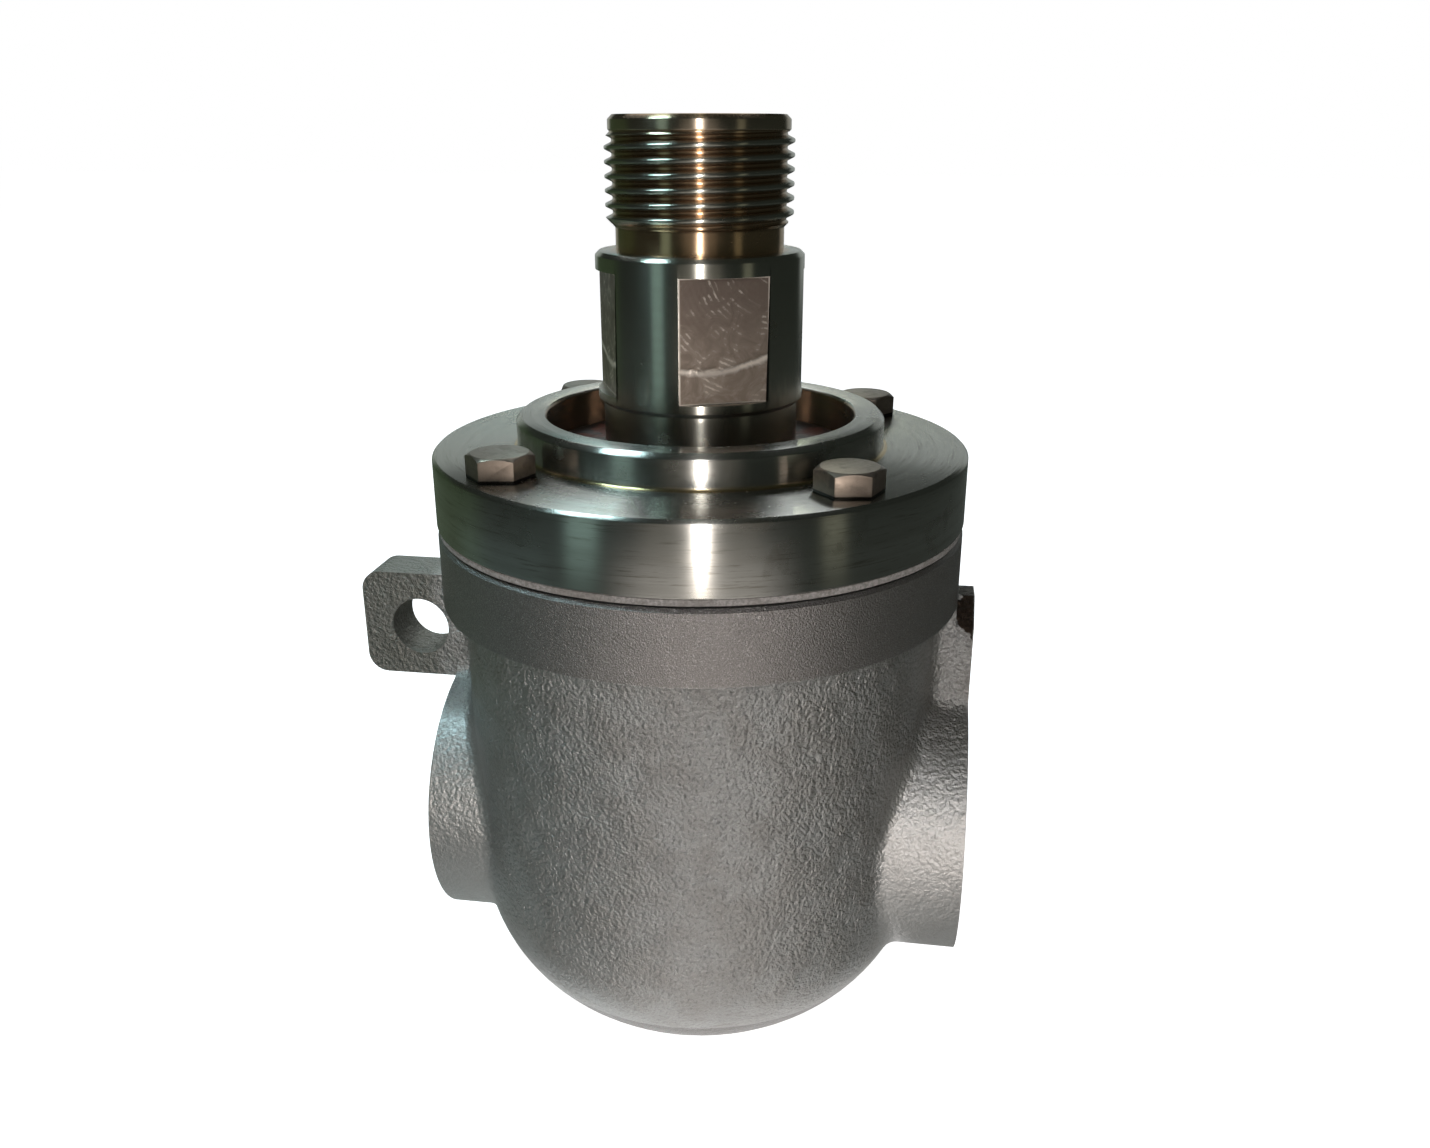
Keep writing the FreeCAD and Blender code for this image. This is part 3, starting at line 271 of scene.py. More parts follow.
def times(tree, first, second):
    """The product of two values or sockets."""
    return maths(tree, "MULTIPLY", first, second)


def blend_colours(tree, amount, first, second, mode="MIX"):
    """A mix of two colours by an amount."""
    made = add_node(tree, "ShaderNodeMix", {0: amount, 6: first, 7: second}, data_type="RGBA",
                    blend_type=mode)
    return made.outputs[2]


def noise(tree, place, scale, detail=2.0, roughness=0.5, distortion=0.0, seed=None):
    """Soft noise from 0 to 1 at a place; a seed, where given, picks another pattern."""
    inputs = {"Vector": place, "Scale": scale, "Detail": detail, "Roughness": roughness,
              "Distortion": distortion}
    if seed is None:
        return add_node(tree, "ShaderNodeTexNoise", inputs).outputs["Fac"]
    inputs["W"] = seed
    return add_node(tree, "ShaderNodeTexNoise", inputs, noise_dimensions="4D").outputs["Fac"]


def ramp(tree, value, low, high, from_value=0.0, to_value=1.0):
    """A value brought from one range into another, smoothly and clamped."""
    made = add_node(tree, "ShaderNodeMapRange", {"Value": value, "From Min": low, "From Max": high,
                                                 "To Min": from_value, "To Max": to_value},
                    interpolation_type="SMOOTHSTEP")
    return made.outputs["Result"]


def new_group(name, inputs, outputs):
    """An empty shader group with named inputs and outputs."""
    group = bpy.data.node_groups.new(name, "ShaderNodeTree")
    for label, kind, default in inputs:
        socket = group.interface.new_socket(name=label, in_out="INPUT", socket_type=kind)
        socket.default_value = default
    for label, kind in outputs:
        group.interface.new_socket(name=label, in_out="OUTPUT", socket_type=kind)
    return group, group.nodes.new("NodeGroupInput"), group.nodes.new("NodeGroupOutput")


def radius_and_height(tree):
    """Distance from the rotor's axis, height and whole place, in metres, as three sockets."""
    place = tree.nodes.new("ShaderNodeTexCoord")
    parts = add_node(tree, "ShaderNodeSeparateXYZ", {"Vector": place.outputs["Object"]})
    across = times(tree, parts.outputs["X"], parts.outputs["X"])
    along = times(tree, parts.outputs["Y"], parts.outputs["Y"])
    radius = maths(tree, "SQRT", maths(tree, "ADD", across, along))
    return radius, parts.outputs["Z"], place.outputs["Object"]


def make_tool_marks():
    """Marks of the lathe: fine rings round the axis, slow bands between them, and scratches along them."""
    group, given, result = new_group(
        "tool_marks",
        [("Lines per mm", "NodeSocketFloat", 4.0), ("Unevenness", "NodeSocketFloat", 0.3)],
        [("Lines", "NodeSocketFloat"), ("Bands", "NodeSocketFloat"), ("Scratches", "NodeSocketFloat")])
    radius, height, place = radius_and_height(group)
    scale = times(group, given.outputs["Lines per mm"], 1000.0)
    ring = add_node(group, "ShaderNodeCombineXYZ", {"X": radius, "Z": height})
    shift = times(group, maths(group, "SUBTRACT", noise(group, place, 40.0), 0.5),
                  times(group, given.outputs["Unevenness"], 0.4 * MM))
    shifted = add_node(group, "ShaderNodeVectorMath", {0: ring.outputs[0], 1: shift}, operation="ADD")
    fine = noise(group, shifted.outputs[0], scale, 3.0, 0.65)
    coarse = noise(group, shifted.outputs[0], 420.0, 4.0, 0.6)
    parts = add_node(group, "ShaderNodeSeparateXYZ", {"Vector": place})
    streak = add_node(group, "ShaderNodeCombineXYZ", {
        "X": times(group, maths(group, "DIVIDE", parts.outputs["X"], radius), SCRATCHES_ROUND),
        "Y": times(group, maths(group, "DIVIDE", parts.outputs["Y"], radius), SCRATCHES_ROUND),
        "Z": times(group, height, SCRATCHES_ACROSS)})
    scratch = noise(group, streak.outputs[0], 1.0, 3.0, 0.7, seed=times(group, radius, SCRATCHES_ACROSS))
    group.links.new(fine, result.inputs["Lines"])
    group.links.new(coarse, result.inputs["Bands"])
    group.links.new(ramp(group, scratch, 0.54, 0.70), result.inputs["Scratches"])
    return group


def make_stains():
    """Soft uneven patches, as oil, handling and storage leave on metal."""
    group, given, result = new_group(
        "stains",
        [("Size mm", "NodeSocketFloat", 12.0), ("Coverage", "NodeSocketFloat", 0.4),
         ("Seed", "NodeSocketFloat", 0.0)],
        [("Patches", "NodeSocketFloat"), ("Specks", "NodeSocketFloat")])
    place = group.nodes.new("ShaderNodeTexCoord").outputs["Object"]
    scale = maths(group, "DIVIDE", 1000.0, given.outputs["Size mm"])
    broad = noise(group, place, scale, 6.0, 0.62, seed=given.outputs["Seed"])
    edge = maths(group, "SUBTRACT", 0.72, times(group, given.outputs["Coverage"], 0.45))
    patches = ramp(group, broad, edge, maths(group, "ADD", edge, 0.14))
    specks = ramp(group, noise(group, place, 900.0, seed=given.outputs["Seed"]), 0.62, 0.72)
    group.links.new(patches, result.inputs["Patches"])
    group.links.new(specks, result.inputs["Specks"])
    return group


def make_cast_grain():
    """The skin of a sand casting: rounded grains over slow waves, with a fine grit between them."""
    group, given, result = new_group(
        "cast_grain",
        [("Grain mm", "NodeSocketFloat", 1.2)],
        [("Height", "NodeSocketFloat"), ("Waves", "NodeSocketFloat"), ("Grit", "NodeSocketFloat")])
    place = group.nodes.new("ShaderNodeTexCoord").outputs["Object"]
    scale = maths(group, "DIVIDE", 1000.0, given.outputs["Grain mm"])
    warp = add_node(group, "ShaderNodeTexNoise", {"Vector": place, "Scale": 900.0, "Detail": 2.0})
    bend = add_node(group, "ShaderNodeVectorMath", {0: warp.outputs["Color"], "Scale": 0.9 * MM},
                    operation="SCALE")
    bent = add_node(group, "ShaderNodeVectorMath", {0: place, 1: bend.outputs[0]}, operation="ADD")
    pebbles = add_node(group, "ShaderNodeTexVoronoi", {"Vector": bent.outputs[0], "Scale": scale,
                                                       "Smoothness": 0.6}, feature="SMOOTH_F1")
    grit = noise(group, place, times(group, scale, 1.7), 3.0, 0.6)
    waves = noise(group, place, 120.0, 3.0, 0.55)
    rounded = maths(group, "SUBTRACT", 1.0, pebbles.outputs["Distance"])
    height = maths(group, "ADD", times(group, rounded, 0.5), times(group, grit, 0.8))
    group.links.new(height, result.inputs["Height"])
    group.links.new(waves, result.inputs["Waves"])
    group.links.new(grit, result.inputs["Grit"])
    return group


TOOL_MARKS = make_tool_marks()
STAINS = make_stains()
CAST_GRAIN = make_cast_grain()


def use_group(tree, group, **inputs):
    """A shader group placed in a material with its values; an underscore in a name stands for a space."""
    made = tree.nodes.new("ShaderNodeGroup")
    made.node_tree = group
    for name, given in inputs.items():
        made.inputs[name.replace("_", " ")].default_value = given
    return made.outputs


def new_material(name):
    """An empty node material with its Principled shader."""
    material = bpy.data.materials.new(name)
    material.use_nodes = True
    return material, material.node_tree, material.node_tree.nodes["Principled BSDF"]


def set_inputs(tree, shader, **inputs):
    """Set or link inputs of the Principled shader; an underscore in a name stands for a space."""
    for name, given in inputs.items():
        feed(tree, shader.inputs[name.replace("_", " ")], given)


def bump(tree, height, strength, distance, below=None):
    """A normal from a height, in millimetres of relief, over another normal where one is given."""
    inputs = {"Height": height, "Strength": strength, "Distance": distance * MM}
    if below is not None:
        inputs["Normal"] = below
    return add_node(tree, "ShaderNodeBump", inputs).outputs["Normal"]


# Materials


def turned_steel(name, colour, stain, rough, lines=4.0, relief=0.004, coverage=0.35, spread=0.0, seed=0.0,
                 patch_size=14.0, scratched=0.0, banding=0.35, metal=1.0, tint=None):
    """Steel from the lathe: fine rings, darker and lighter bands, soft stains and scratches along the rings.

    A tint, where given, takes the material's tree and colour and returns the colour with its added marks:
    oil on the cover, brown in the rotor's thread, painted shade at the bolts' feet.
    """
    material, tree, shader = new_material(name)
    marks = use_group(tree, TOOL_MARKS, Lines_per_mm=lines, Unevenness=0.3)
    spots = use_group(tree, STAINS, Size_mm=patch_size, Coverage=coverage, Seed=seed)
    banded = blend_colours(tree, ramp(tree, marks["Bands"], 0.3, 0.7, 0.0, banding), colour, stain)
    patched = blend_colours(tree, times(tree, spots["Patches"], 0.5), banded, stain)
    worn = blend_colours(tree, times(tree, marks["Scratches"], scratched), patched, stain)
    finished = tint(tree, worn) if tint else worn
    swing = banding * 0.1
    roughness = maths(tree, "ADD", ramp(tree, marks["Bands"], 0.3, 0.7, rough - swing, rough + swing),
                      times(tree, spots["Patches"], 0.07))
    set_inputs(tree, shader, Metallic=metal, Base_Color=finished, Roughness=roughness,
               Normal=bump(tree, marks["Lines"], 0.5, relief))
    if spread:
        tangent = add_node(tree, "ShaderNodeTangent", direction_type="RADIAL", axis="Z")
        set_inputs(tree, shader, Anisotropic=spread, Anisotropic_Rotation=0.25, Tangent=tangent.outputs[0])
    return material


def oiled_cover(tree, colour):
    """The cover's colour with dark grease in its seal bore and a line of old oil round the ring's foot."""
    radius, height = radius_and_height(tree)[:2]
    in_bore = times(tree, ramp(tree, radius, SEAL_RADIUS + 0.1 * MM, SEAL_RADIUS + 0.5 * MM, 1.0, 0.0),
                    ramp(tree, height, SEAL_BOTTOM - 0.2 * MM, SEAL_BOTTOM))
    greased = blend_colours(tree, in_bore, colour, (0.36, 0.27, 0.20, 1))
    off_foot = maths(tree, "ABSOLUTE", maths(tree, "SUBTRACT", radius, HUB_RADIUS + 0.5 * MM))
    at_foot = times(tree, ramp(tree, off_foot, 0.2 * MM, 0.75 * MM, 0.75, 0.0),
                    ramp(tree, height, FLANGE_TOP - 0.2 * MM, FLANGE_TOP - 0.1 * MM))
    low_foot = times(tree, at_foot, ramp(tree, height, FLANGE_TOP + 0.5 * MM, FLANGE_TOP + MM, 1.0, 0.0))
    return blend_colours(tree, low_foot, greased, (0.52, 0.37, 0.15, 1))


def rotor_browned_thread(tree, colour):
    """The rotor's colour, brown in the thread's roots and in the relief below it, and darkest at the roots.
    """
    radius, height = radius_and_height(tree)[:2]
    deep = ramp(tree, radius, THREAD_ROOT + 0.1 * MM, THREAD_RADIUS - 0.3 * MM, 1.0, 0.0)
    above = ramp(tree, height, SPINDLE_TOP - 0.5 * MM, SPINDLE_TOP + 0.2 * MM)
    outside = ramp(tree, radius, BORE_RADIUS + 0.5 * MM, BORE_RADIUS + MM)
    here = times(tree, above, outside)
    on_thread = ramp(tree, height, THREAD_BOTTOM - 0.5 * MM, THREAD_BOTTOM)
    at_root = times(tree, ramp(tree, radius, THREAD_ROOT + 0.1 * MM, THREAD_ROOT + 0.7 * MM, 1.0, 0.0),
                    on_thread)
    brown = blend_colours(tree, times(tree, at_root, 0.45), (0.50, 0.33, 0.19, 1),
                          (0.12, 0.065, 0.035, 1))
    return blend_colours(tree, times(tree, times(tree, deep, here), 0.9), colour, brown)


def bolt_foot_shade(tree, colour):
    """The bolts' colour with a near-black line of painted shade where the heads meet the flange."""
    height = radius_and_height(tree)[1]
    # Painted shade: near-black at the foot of each head.
    at_foot = ramp(tree, height, FLANGE_TOP + 0.45 * MM, FLANGE_TOP + 0.75 * MM, 1.0, 0.0)
    return blend_colours(tree, at_foot, colour, (0.012, 0.010, 0.008, 1))


def housing_places(tree, waves):
    """Masks, by name, for places where the housing's finish differs or where light and shade are painted on
    it: one inside and zero beside them.
    """
    radius, height, place = radius_and_height(tree)
    across = add_node(tree, "ShaderNodeSeparateXYZ", {"Vector": place}).outputs["X"]
    on_rim = times(tree, ramp(tree, radius, RIM_RADIUS - 1.2 * MM, RIM_RADIUS - 0.9 * MM),
                   ramp(tree, radius, RIM_RADIUS + 0.2 * MM, RIM_RADIUS + 0.5 * MM, 1.0, 0.0))
    on_band = times(tree, ramp(tree, height, RIM_BOTTOM - 0.1 * MM, RIM_BOTTOM + 0.4 * MM), on_rim)
    left_end = ramp(tree, across, -LEFT_FACE + 0.1 * MM, -LEFT_FACE + 0.3 * MM, 1.0, 0.0)
    right_end = ramp(tree, across, RIGHT_FACE - 0.3 * MM, RIGHT_FACE - 0.1 * MM)
    below_ear = ramp(tree, height, EAR_BOTTOM, EAR_BOTTOM + 0.4 * MM, 1.0, 0.0)
    faced = maths(tree, "MAXIMUM", times(tree, left_end, below_ear), right_end)
    machined = maths(tree, "MAXIMUM", on_band, faced, clamp=True)
    stray = times(tree, maths(tree, "SUBTRACT", waves, 0.5), TORN_STRAY)
    torn_up = ramp(tree, maths(tree, "ADD", height, stray), TORN_HEIGHT, TORN_HEIGHT + 0.8 * MM)
    torn_out = ramp(tree, maths(tree, "ADD", across, stray), TORN_REACH, TORN_REACH + 0.8 * MM)
    boss_out = ramp(tree, maths(tree, "ABSOLUTE", across), BOSS_START, BOSS_FULL)
    ear_out = ramp(tree, across, -EAR_FULL, -EAR_START, 1.0, 0.0)
    return {
        "machined": machined,
        "cast": maths(tree, "SUBTRACT", 1.0, machined),
        "torn": times(tree, torn_up, torn_out),
        "chamber": ramp(tree, radius, CHAMBER_RADIUS - 0.2 * MM, CHAMBER_RADIUS + 0.2 * MM, 1.0, 0.0),
        "boss": times(tree, boss_out, ramp(tree, height, BOSS_TOP, EAR_BOTTOM, 1.0, 0.0)),
        "ear": times(tree, ear_out, maths(tree, "SUBTRACT", 1.0, below_ear)),
    }


def housing_colour(tree, places, grain, fine):
    """Cast iron with aged patches, pits and specks, painted glints, bosses painted paler as a painted
    highlight, and painted shade inside the chamber, on the ear and on the torn corner.
    """
    spots = use_group(tree, STAINS, Size_mm=26.0, Coverage=0.5, Seed=3.0)
    warm = blend_colours(tree, ramp(tree, grain["Waves"], 0.35, 0.65), (0.385, 0.378, 0.370, 1),
                         (0.335, 0.322, 0.308, 1))
    aged = blend_colours(tree, times(tree, spots["Patches"], 0.35), warm, (0.300, 0.298, 0.294, 1))
    in_pits = ramp(tree, grain["Grit"], 0.48, 0.32, 0.0, 0.45)
    gritty = blend_colours(tree, in_pits, aged, (0.17, 0.168, 0.165, 1))
    band = blend_colours(tree, ramp(tree, fine["Grit"], 0.35, 0.65), (0.205, 0.190, 0.182, 1),
                         (0.305, 0.284, 0.275, 1))
    colour = blend_colours(tree, places["machined"], gritty, band)
    # Painted highlight: pale glints painted on the high points of the fine grit.
    painted_glints = times(tree, ramp(tree, fine["Grit"], 0.60, 0.70), 0.40)
    painted_glint_colour = blend_colours(tree, painted_glints, colour, (0.80, 0.78, 0.76, 1))
    # Painted shade: the torn corner of the right ear is painted near-black brown.
    torn = times(tree, places["torn"], places["cast"])
    torn_corner_shade = blend_colours(tree, torn, painted_glint_colour, (0.030, 0.021, 0.015, 1))
    # Painted shade: the inside of the housing, within the chamber's radius, is painted darker.
    shaded = blend_colours(tree, times(tree, places["chamber"], 0.6), torn_corner_shade, (0.12, 0.11, 0.10, 1))
    # Painted shade: the left ear is painted darker and duller in hue.
    ear_painted_shade = blend_colours(tree, times(tree, places["ear"], 0.65), shaded, (0.17, 0.165, 0.138, 1))
    # Painted highlight: the bosses are painted paler, to stand in for the highlight they catch.
    return blend_colours(tree, times(tree, places["boss"], 0.55), ear_painted_shade, (0.56, 0.545, 0.535, 1))


def housing_normal(tree, places, grain, fine):
    """The casting's relief, flatter on the bosses, and the fine marks of its machined faces."""
    marks = use_group(tree, TOOL_MARKS, Lines_per_mm=3.0, Unevenness=0.4)
    relief = times(tree, places["cast"], ramp(tree, places["boss"], 0.0, 1.0, 1.0, 0.45))
    wavy = bump(tree, grain["Waves"], relief, 1.1)
    grained = bump(tree, grain["Height"], relief, 0.75, wavy)
    fine_grained = bump(tree, fine["Height"], times(tree, places["machined"], 0.9), 0.22, grained)
    return bump(tree, marks["Lines"], times(tree, places["machined"], 0.3), 0.01, fine_grained)


def make_cast_housing():
    """Blasted cast iron with its turned band under the cover and the faced ends of the ports."""
    material, tree, shader = new_material("cast_housing_skin")
    grain = use_group(tree, CAST_GRAIN, Grain_mm=1.15)
    fine = use_group(tree, CAST_GRAIN, Grain_mm=0.45)
    places = housing_places(tree, grain["Waves"])
    set_inputs(tree, shader, Metallic=0.9, Base_Color=housing_colour(tree, places, grain, fine),
               Roughness=maths(tree, "SUBTRACT", 0.40, times(tree, places["machined"], 0.04)),
               Normal=housing_normal(tree, places, grain, fine))
    return material


def make_gasket_sheet():
    """Compressed fibre sheet with a rough, slightly greasy edge, and near-black painted shade, with some
    grime, where it meets the rim.
    """
    material, tree, shader = new_material("gasket_fibre")
    height, place = radius_and_height(tree)[1:]
    fibres = noise(tree, place, 1500.0, 4.0, 0.7)
    spots = use_group(tree, STAINS, Size_mm=8.0, Coverage=0.5, Seed=9.0)
    base = blend_colours(tree, ramp(tree, fibres, 0.35, 0.65), (0.14, 0.125, 0.115, 1),
                         (0.27, 0.245, 0.23, 1))
    marked = blend_colours(tree, times(tree, spots["Patches"], 0.45), base, (0.12, 0.10, 0.085, 1))
    # Painted shade with some grime: near-black in the joint above the housing's rim.
    joint_shade = ramp(tree, height, JOINT_FACE + 0.5 * MM, JOINT_FACE + 0.8 * MM, 1.0, 0.0)
    colour = blend_colours(tree, joint_shade, marked, (0.008, 0.007, 0.006, 1))
    set_inputs(tree, shader, Base_Color=colour, Roughness=0.6, Normal=bump(tree, fibres, 0.9, 0.15))
    return material


def make_rubber(name, colour, tint):
    """Oiled nitrile rubber with faint mould lines and patches of a second tone."""
    material, tree, shader = new_material(name)
    marks = use_group(tree, TOOL_MARKS, Lines_per_mm=2.0, Unevenness=0.6)
    spots = use_group(tree, STAINS, Size_mm=9.0, Coverage=0.5, Seed=5.0)
    shade = blend_colours(tree, times(tree, spots["Patches"], 0.6), colour, tint)
    set_inputs(tree, shader, Base_Color=shade,
               Roughness=ramp(tree, spots["Patches"], 0.0, 1.0, 0.48, 0.30),
               Normal=bump(tree, marks["Bands"], 0.4, 0.05))
    return material


def make_carbon():
    """Pressed carbon with graphite sheen and fine pores."""
    material, tree, shader = new_material("carbon_grey")
    marks = use_group(tree, TOOL_MARKS, Lines_per_mm=5.0, Unevenness=0.2)
    spots = use_group(tree, STAINS, Size_mm=3.0, Coverage=0.4, Seed=7.0)
    colour = blend_colours(tree, spots["Specks"], (0.045, 0.045, 0.048, 1), (0.015, 0.015, 0.016, 1))
    set_inputs(tree, shader, Base_Color=colour, Metallic=0.2, Roughness=0.35,
               Normal=bump(tree, marks["Lines"], 0.4, 0.006))
    return material


def place_on_flat(tree):
    """The place on a wrench flat, in metres: across it from its middle, its height, and both as a vector."""
    place = tree.nodes.new("ShaderNodeTexCoord")
    turned_back = add_node(tree, "ShaderNodeMapping", {"Vector": place.outputs["Object"],
                                                       "Rotation": (0, 0, -FLAT_TURN)})
    parts = add_node(tree, "ShaderNodeSeparateXYZ", {"Vector": turned_back.outputs[0]})
    across_first = maths(tree, "ABSOLUTE", parts.outputs["X"])
    across_second = maths(tree, "ABSOLUTE", parts.outputs["Y"])
    faces_front = maths(tree, "LESS_THAN", across_first, across_second)
    along = add_node(tree, "ShaderNodeMix", {0: faces_front, 2: parts.outputs["Y"], 3: parts.outputs["X"]},
                     data_type="FLOAT").outputs[0]
    both = add_node(tree, "ShaderNodeCombineXYZ", {"X": along, "Y": parts.outputs["Z"]}).outputs[0]
    return along, parts.outputs["Z"], both


def rub_level(tree, along, height, swirl):
    """A height over a flat that slopes, bends and strays as the rubbed line across it does."""
    sloped = maths(tree, "ADD", times(tree, along, RUB_SLOPE), height)
    bent = maths(tree, "SUBTRACT", sloped, times(tree, times(tree, along, along), RUB_BEND))
    return maths(tree, "ADD", bent, times(tree, swirl, RUB_STRAY))


def worn_edge(tree, along, height):
    """The line just inside a flat's four edges."""
    half_width = math.sqrt(SPINDLE_RADIUS ** 2 - FLAT_DISTANCE ** 2)
    to_side = ramp(tree, maths(tree, "ABSOLUTE", along), half_width - 0.45 * MM, half_width - 0.25 * MM)
    to_end = maths(tree, "MAXIMUM",
                   ramp(tree, height, FLAT_BOTTOM + 0.2 * MM, FLAT_BOTTOM + 0.4 * MM, 1.0, 0.0),
                   ramp(tree, height, FLAT_TOP - 0.4 * MM, FLAT_TOP - 0.2 * MM))
    return maths(tree, "MAXIMUM", to_side, to_end)


def make_milled_flat():
    """The wrench flats: arcs of a wide cutter on warm steel, with a polished rub across them."""
    material, tree, shader = new_material("rotor_flat_milled")
    along, height, place = place_on_flat(tree)
    cutter_middle = (11.0 * MM, FLAT_TOP + 4.0 * MM, 0.0)
    from_cutter = add_node(tree, "ShaderNodeVectorMath", {0: place, 1: cutter_middle}, operation="SUBTRACT")
    arcs = add_node(tree, "ShaderNodeTexWave", {
        "Vector": from_cutter.outputs[0], "Scale": 260.0, "Distortion": 1.5, "Detail": 2.0,
        "Detail Scale": 3.0}, wave_type="RINGS", rings_direction="SPHERICAL").outputs["Fac"]
    swirl = noise(tree, place, 190.0, 5.0, 0.6, 1.2)
    level = rub_level(tree, along, height, swirl)
    rub = times(tree, ramp(tree, level, RUB_HEIGHT - 1.1 * MM, RUB_HEIGHT),
                ramp(tree, level, RUB_HEIGHT + 0.1 * MM, RUB_HEIGHT + 0.9 * MM, 1.0, 0.0))
    arc_marks = times(tree, ramp(tree, arcs, 0.55, 0.95), ramp(tree, swirl, 0.52, 0.68))
    marked = maths(tree, "MAXIMUM", times(tree, arc_marks, 0.55), rub)
    worn = times(tree, worn_edge(tree, along, height), 0.55)
    bright = maths(tree, "MAXIMUM", marked, worn, clamp=True)
    base = blend_colours(tree, ramp(tree, swirl, 0.35, 0.65), (0.24, 0.190, 0.153, 1),
                         (0.42, 0.343, 0.286, 1))
    upward = times(tree, ramp(tree, height, FLAT_BOTTOM, FLAT_TOP), 0.8)
    toned = blend_colours(tree, upward, base, (0.13, 0.096, 0.080, 1))
    step = ramp(tree, level, RUB_HEIGHT - 1.2 * MM, RUB_HEIGHT + 1.4 * MM)
    set_inputs(tree, shader, Metallic=0.75,
               Base_Color=blend_colours(tree, bright, toned, (1.0, 0.88, 0.78, 1)),
               Roughness=ramp(tree, swirl, 0.3, 0.7, 0.44, 0.33),
               Normal=bump(tree, step, 1.0, 0.35, bump(tree, arcs, 0.35, 0.012)))
    return material


MATERIALS = {
    "cast_housing": make_cast_housing(),
    "turned_cover": turned_steel("cover_turned", (0.46, 0.45, 0.42, 1), (0.22, 0.20, 0.16, 1), 0.25,
                                 lines=3.0, relief=0.0025, spread=0.92, seed=1.0, scratched=0.75,
                                 banding=0.25, tint=oiled_cover),
    "gasket_sheet": make_gasket_sheet(),
    "bolt_steel": turned_steel("bolt_head_steel", (0.195, 0.158, 0.128, 1), (0.10, 0.082, 0.068, 1), 0.36,
                               lines=1.5, relief=0.0014, coverage=0.5, seed=2.0, patch_size=3.0, metal=0.88,
                               tint=bolt_foot_shade),
    "spring_steel": turned_steel("spring_steel_dark", (0.20, 0.20, 0.20, 1), (0.10, 0.09, 0.08, 1), 0.35),
    "seal_rubber": make_rubber("seal_rubber_brown", (0.022, 0.014, 0.012, 1), (0.13, 0.035, 0.024, 1)),
    "insert_steel": turned_steel("insert_steel_plain", (0.38, 0.38, 0.37, 1), (0.22, 0.20, 0.17, 1), 0.35),
    "bearing_steel": turned_steel("bearing_steel_ground", (0.56, 0.56, 0.56, 1), (0.42, 0.42, 0.41, 1), 0.14,
                                  lines=8.0, relief=0.002),
    "cage_brass": turned_steel("cage_brass_turned", (0.62, 0.45, 0.20, 1), (0.45, 0.30, 0.12, 1), 0.30),
    "spacer_steel": turned_steel("spacer_steel_turned", (0.42, 0.42, 0.41, 1), (0.25, 0.24, 0.22, 1), 0.30),
    "rotor_steel": turned_steel("rotor_turned", (0.45, 0.44, 0.39, 1), (0.27, 0.22, 0.15, 1), 0.25,
                                lines=4.0, relief=0.0015, seed=4.0, spread=0.93, scratched=0.08,
                                banding=0.12, tint=rotor_browned_thread),
    "face_ring_steel": turned_steel("face_ring_lapped", (0.50, 0.50, 0.50, 1), (0.40, 0.40, 0.39, 1), 0.10,
                                    lines=9.0, relief=0.001),
    "o_ring_rubber": make_rubber("o_ring_rubber_black", (0.018, 0.018, 0.019, 1), (0.03, 0.03, 0.03, 1)),
    "carbon": make_carbon(),
    "carrier_steel": turned_steel("carrier_steel_turned", (0.44, 0.44, 0.43, 1), (0.28, 0.27, 0.25, 1),
                                  0.25),
}
MILLED_FLAT = make_milled_flat()


def dress_cad_nodes():
    """Give every solid of the frame the finish of its slot."""
    slots = {entry["node"]: entry["material_slot"] for entry in frame["record"]["subparts"]}
    for node, piece in frame["nodes"].items():
        for holder in piece.material_slots:
            holder.material = MATERIALS[slots[node]]


# Rotor


def rotor_shaft():
    """The rotor's turned body, with the core that the thread stands on, and its four wrench flats."""
    outline = [
        (BORE_RADIUS, ROTOR_BOTTOM),
        (NOSE_RADIUS, ROTOR_BOTTOM),
        (NOSE_RADIUS, JOURNAL_BOTTOM),
        (JOURNAL_RADIUS, JOURNAL_BOTTOM),
        (JOURNAL_RADIUS, BEARING_TOP),
        (NECK_RADIUS, BEARING_TOP),
        (NECK_RADIUS, SPINDLE_BOTTOM),
        (SPINDLE_RADIUS - SPINDLE_CHAMFER, SPINDLE_BOTTOM),
        (SPINDLE_RADIUS, SPINDLE_BOTTOM + SPINDLE_CHAMFER),
        (SPINDLE_RADIUS, SPINDLE_TOP - SPINDLE_CHAMFER),
        (SPINDLE_RADIUS - SPINDLE_CHAMFER, SPINDLE_TOP),
        (RELIEF_RADIUS, SPINDLE_TOP),
        (RELIEF_RADIUS, THREAD_TOP),
        (PILOT_RADIUS - PILOT_EASE, THREAD_TOP),
        (PILOT_RADIUS, THREAD_TOP + PILOT_EASE),
        (PILOT_RADIUS, ROTOR_TOP - ROTOR_END_CHAMFER),
        (PILOT_RADIUS - ROTOR_END_CHAMFER, ROTOR_TOP),
        (BORE_RADIUS + ROTOR_END_CHAMFER, ROTOR_TOP),
        (BORE_RADIUS, ROTOR_TOP - ROTOR_END_CHAMFER),
    ]
    shaft = turned(outline, soften=0.18 * MM)
    shaft = cut_away(shaft, flat_cutters())
    normals = [Matrix.Rotation(FLAT_TURN + quarter * math.radians(90), 3, "Z") @ Vector((0, -1, 0))
               for quarter in range(4)]
    for face in shape_faces_between(shaft, FLAT_BOTTOM, FLAT_TOP):
        on_flat = any(face.normal.dot(normal) > 0.9999 for normal in normals)
        if on_flat:
            face.material_index = 1
    rim = [edge for edge in shaft.edges if is_flat_rim(edge)]
    soften_edges(shaft, rim, 0.15 * MM)
    return shaft


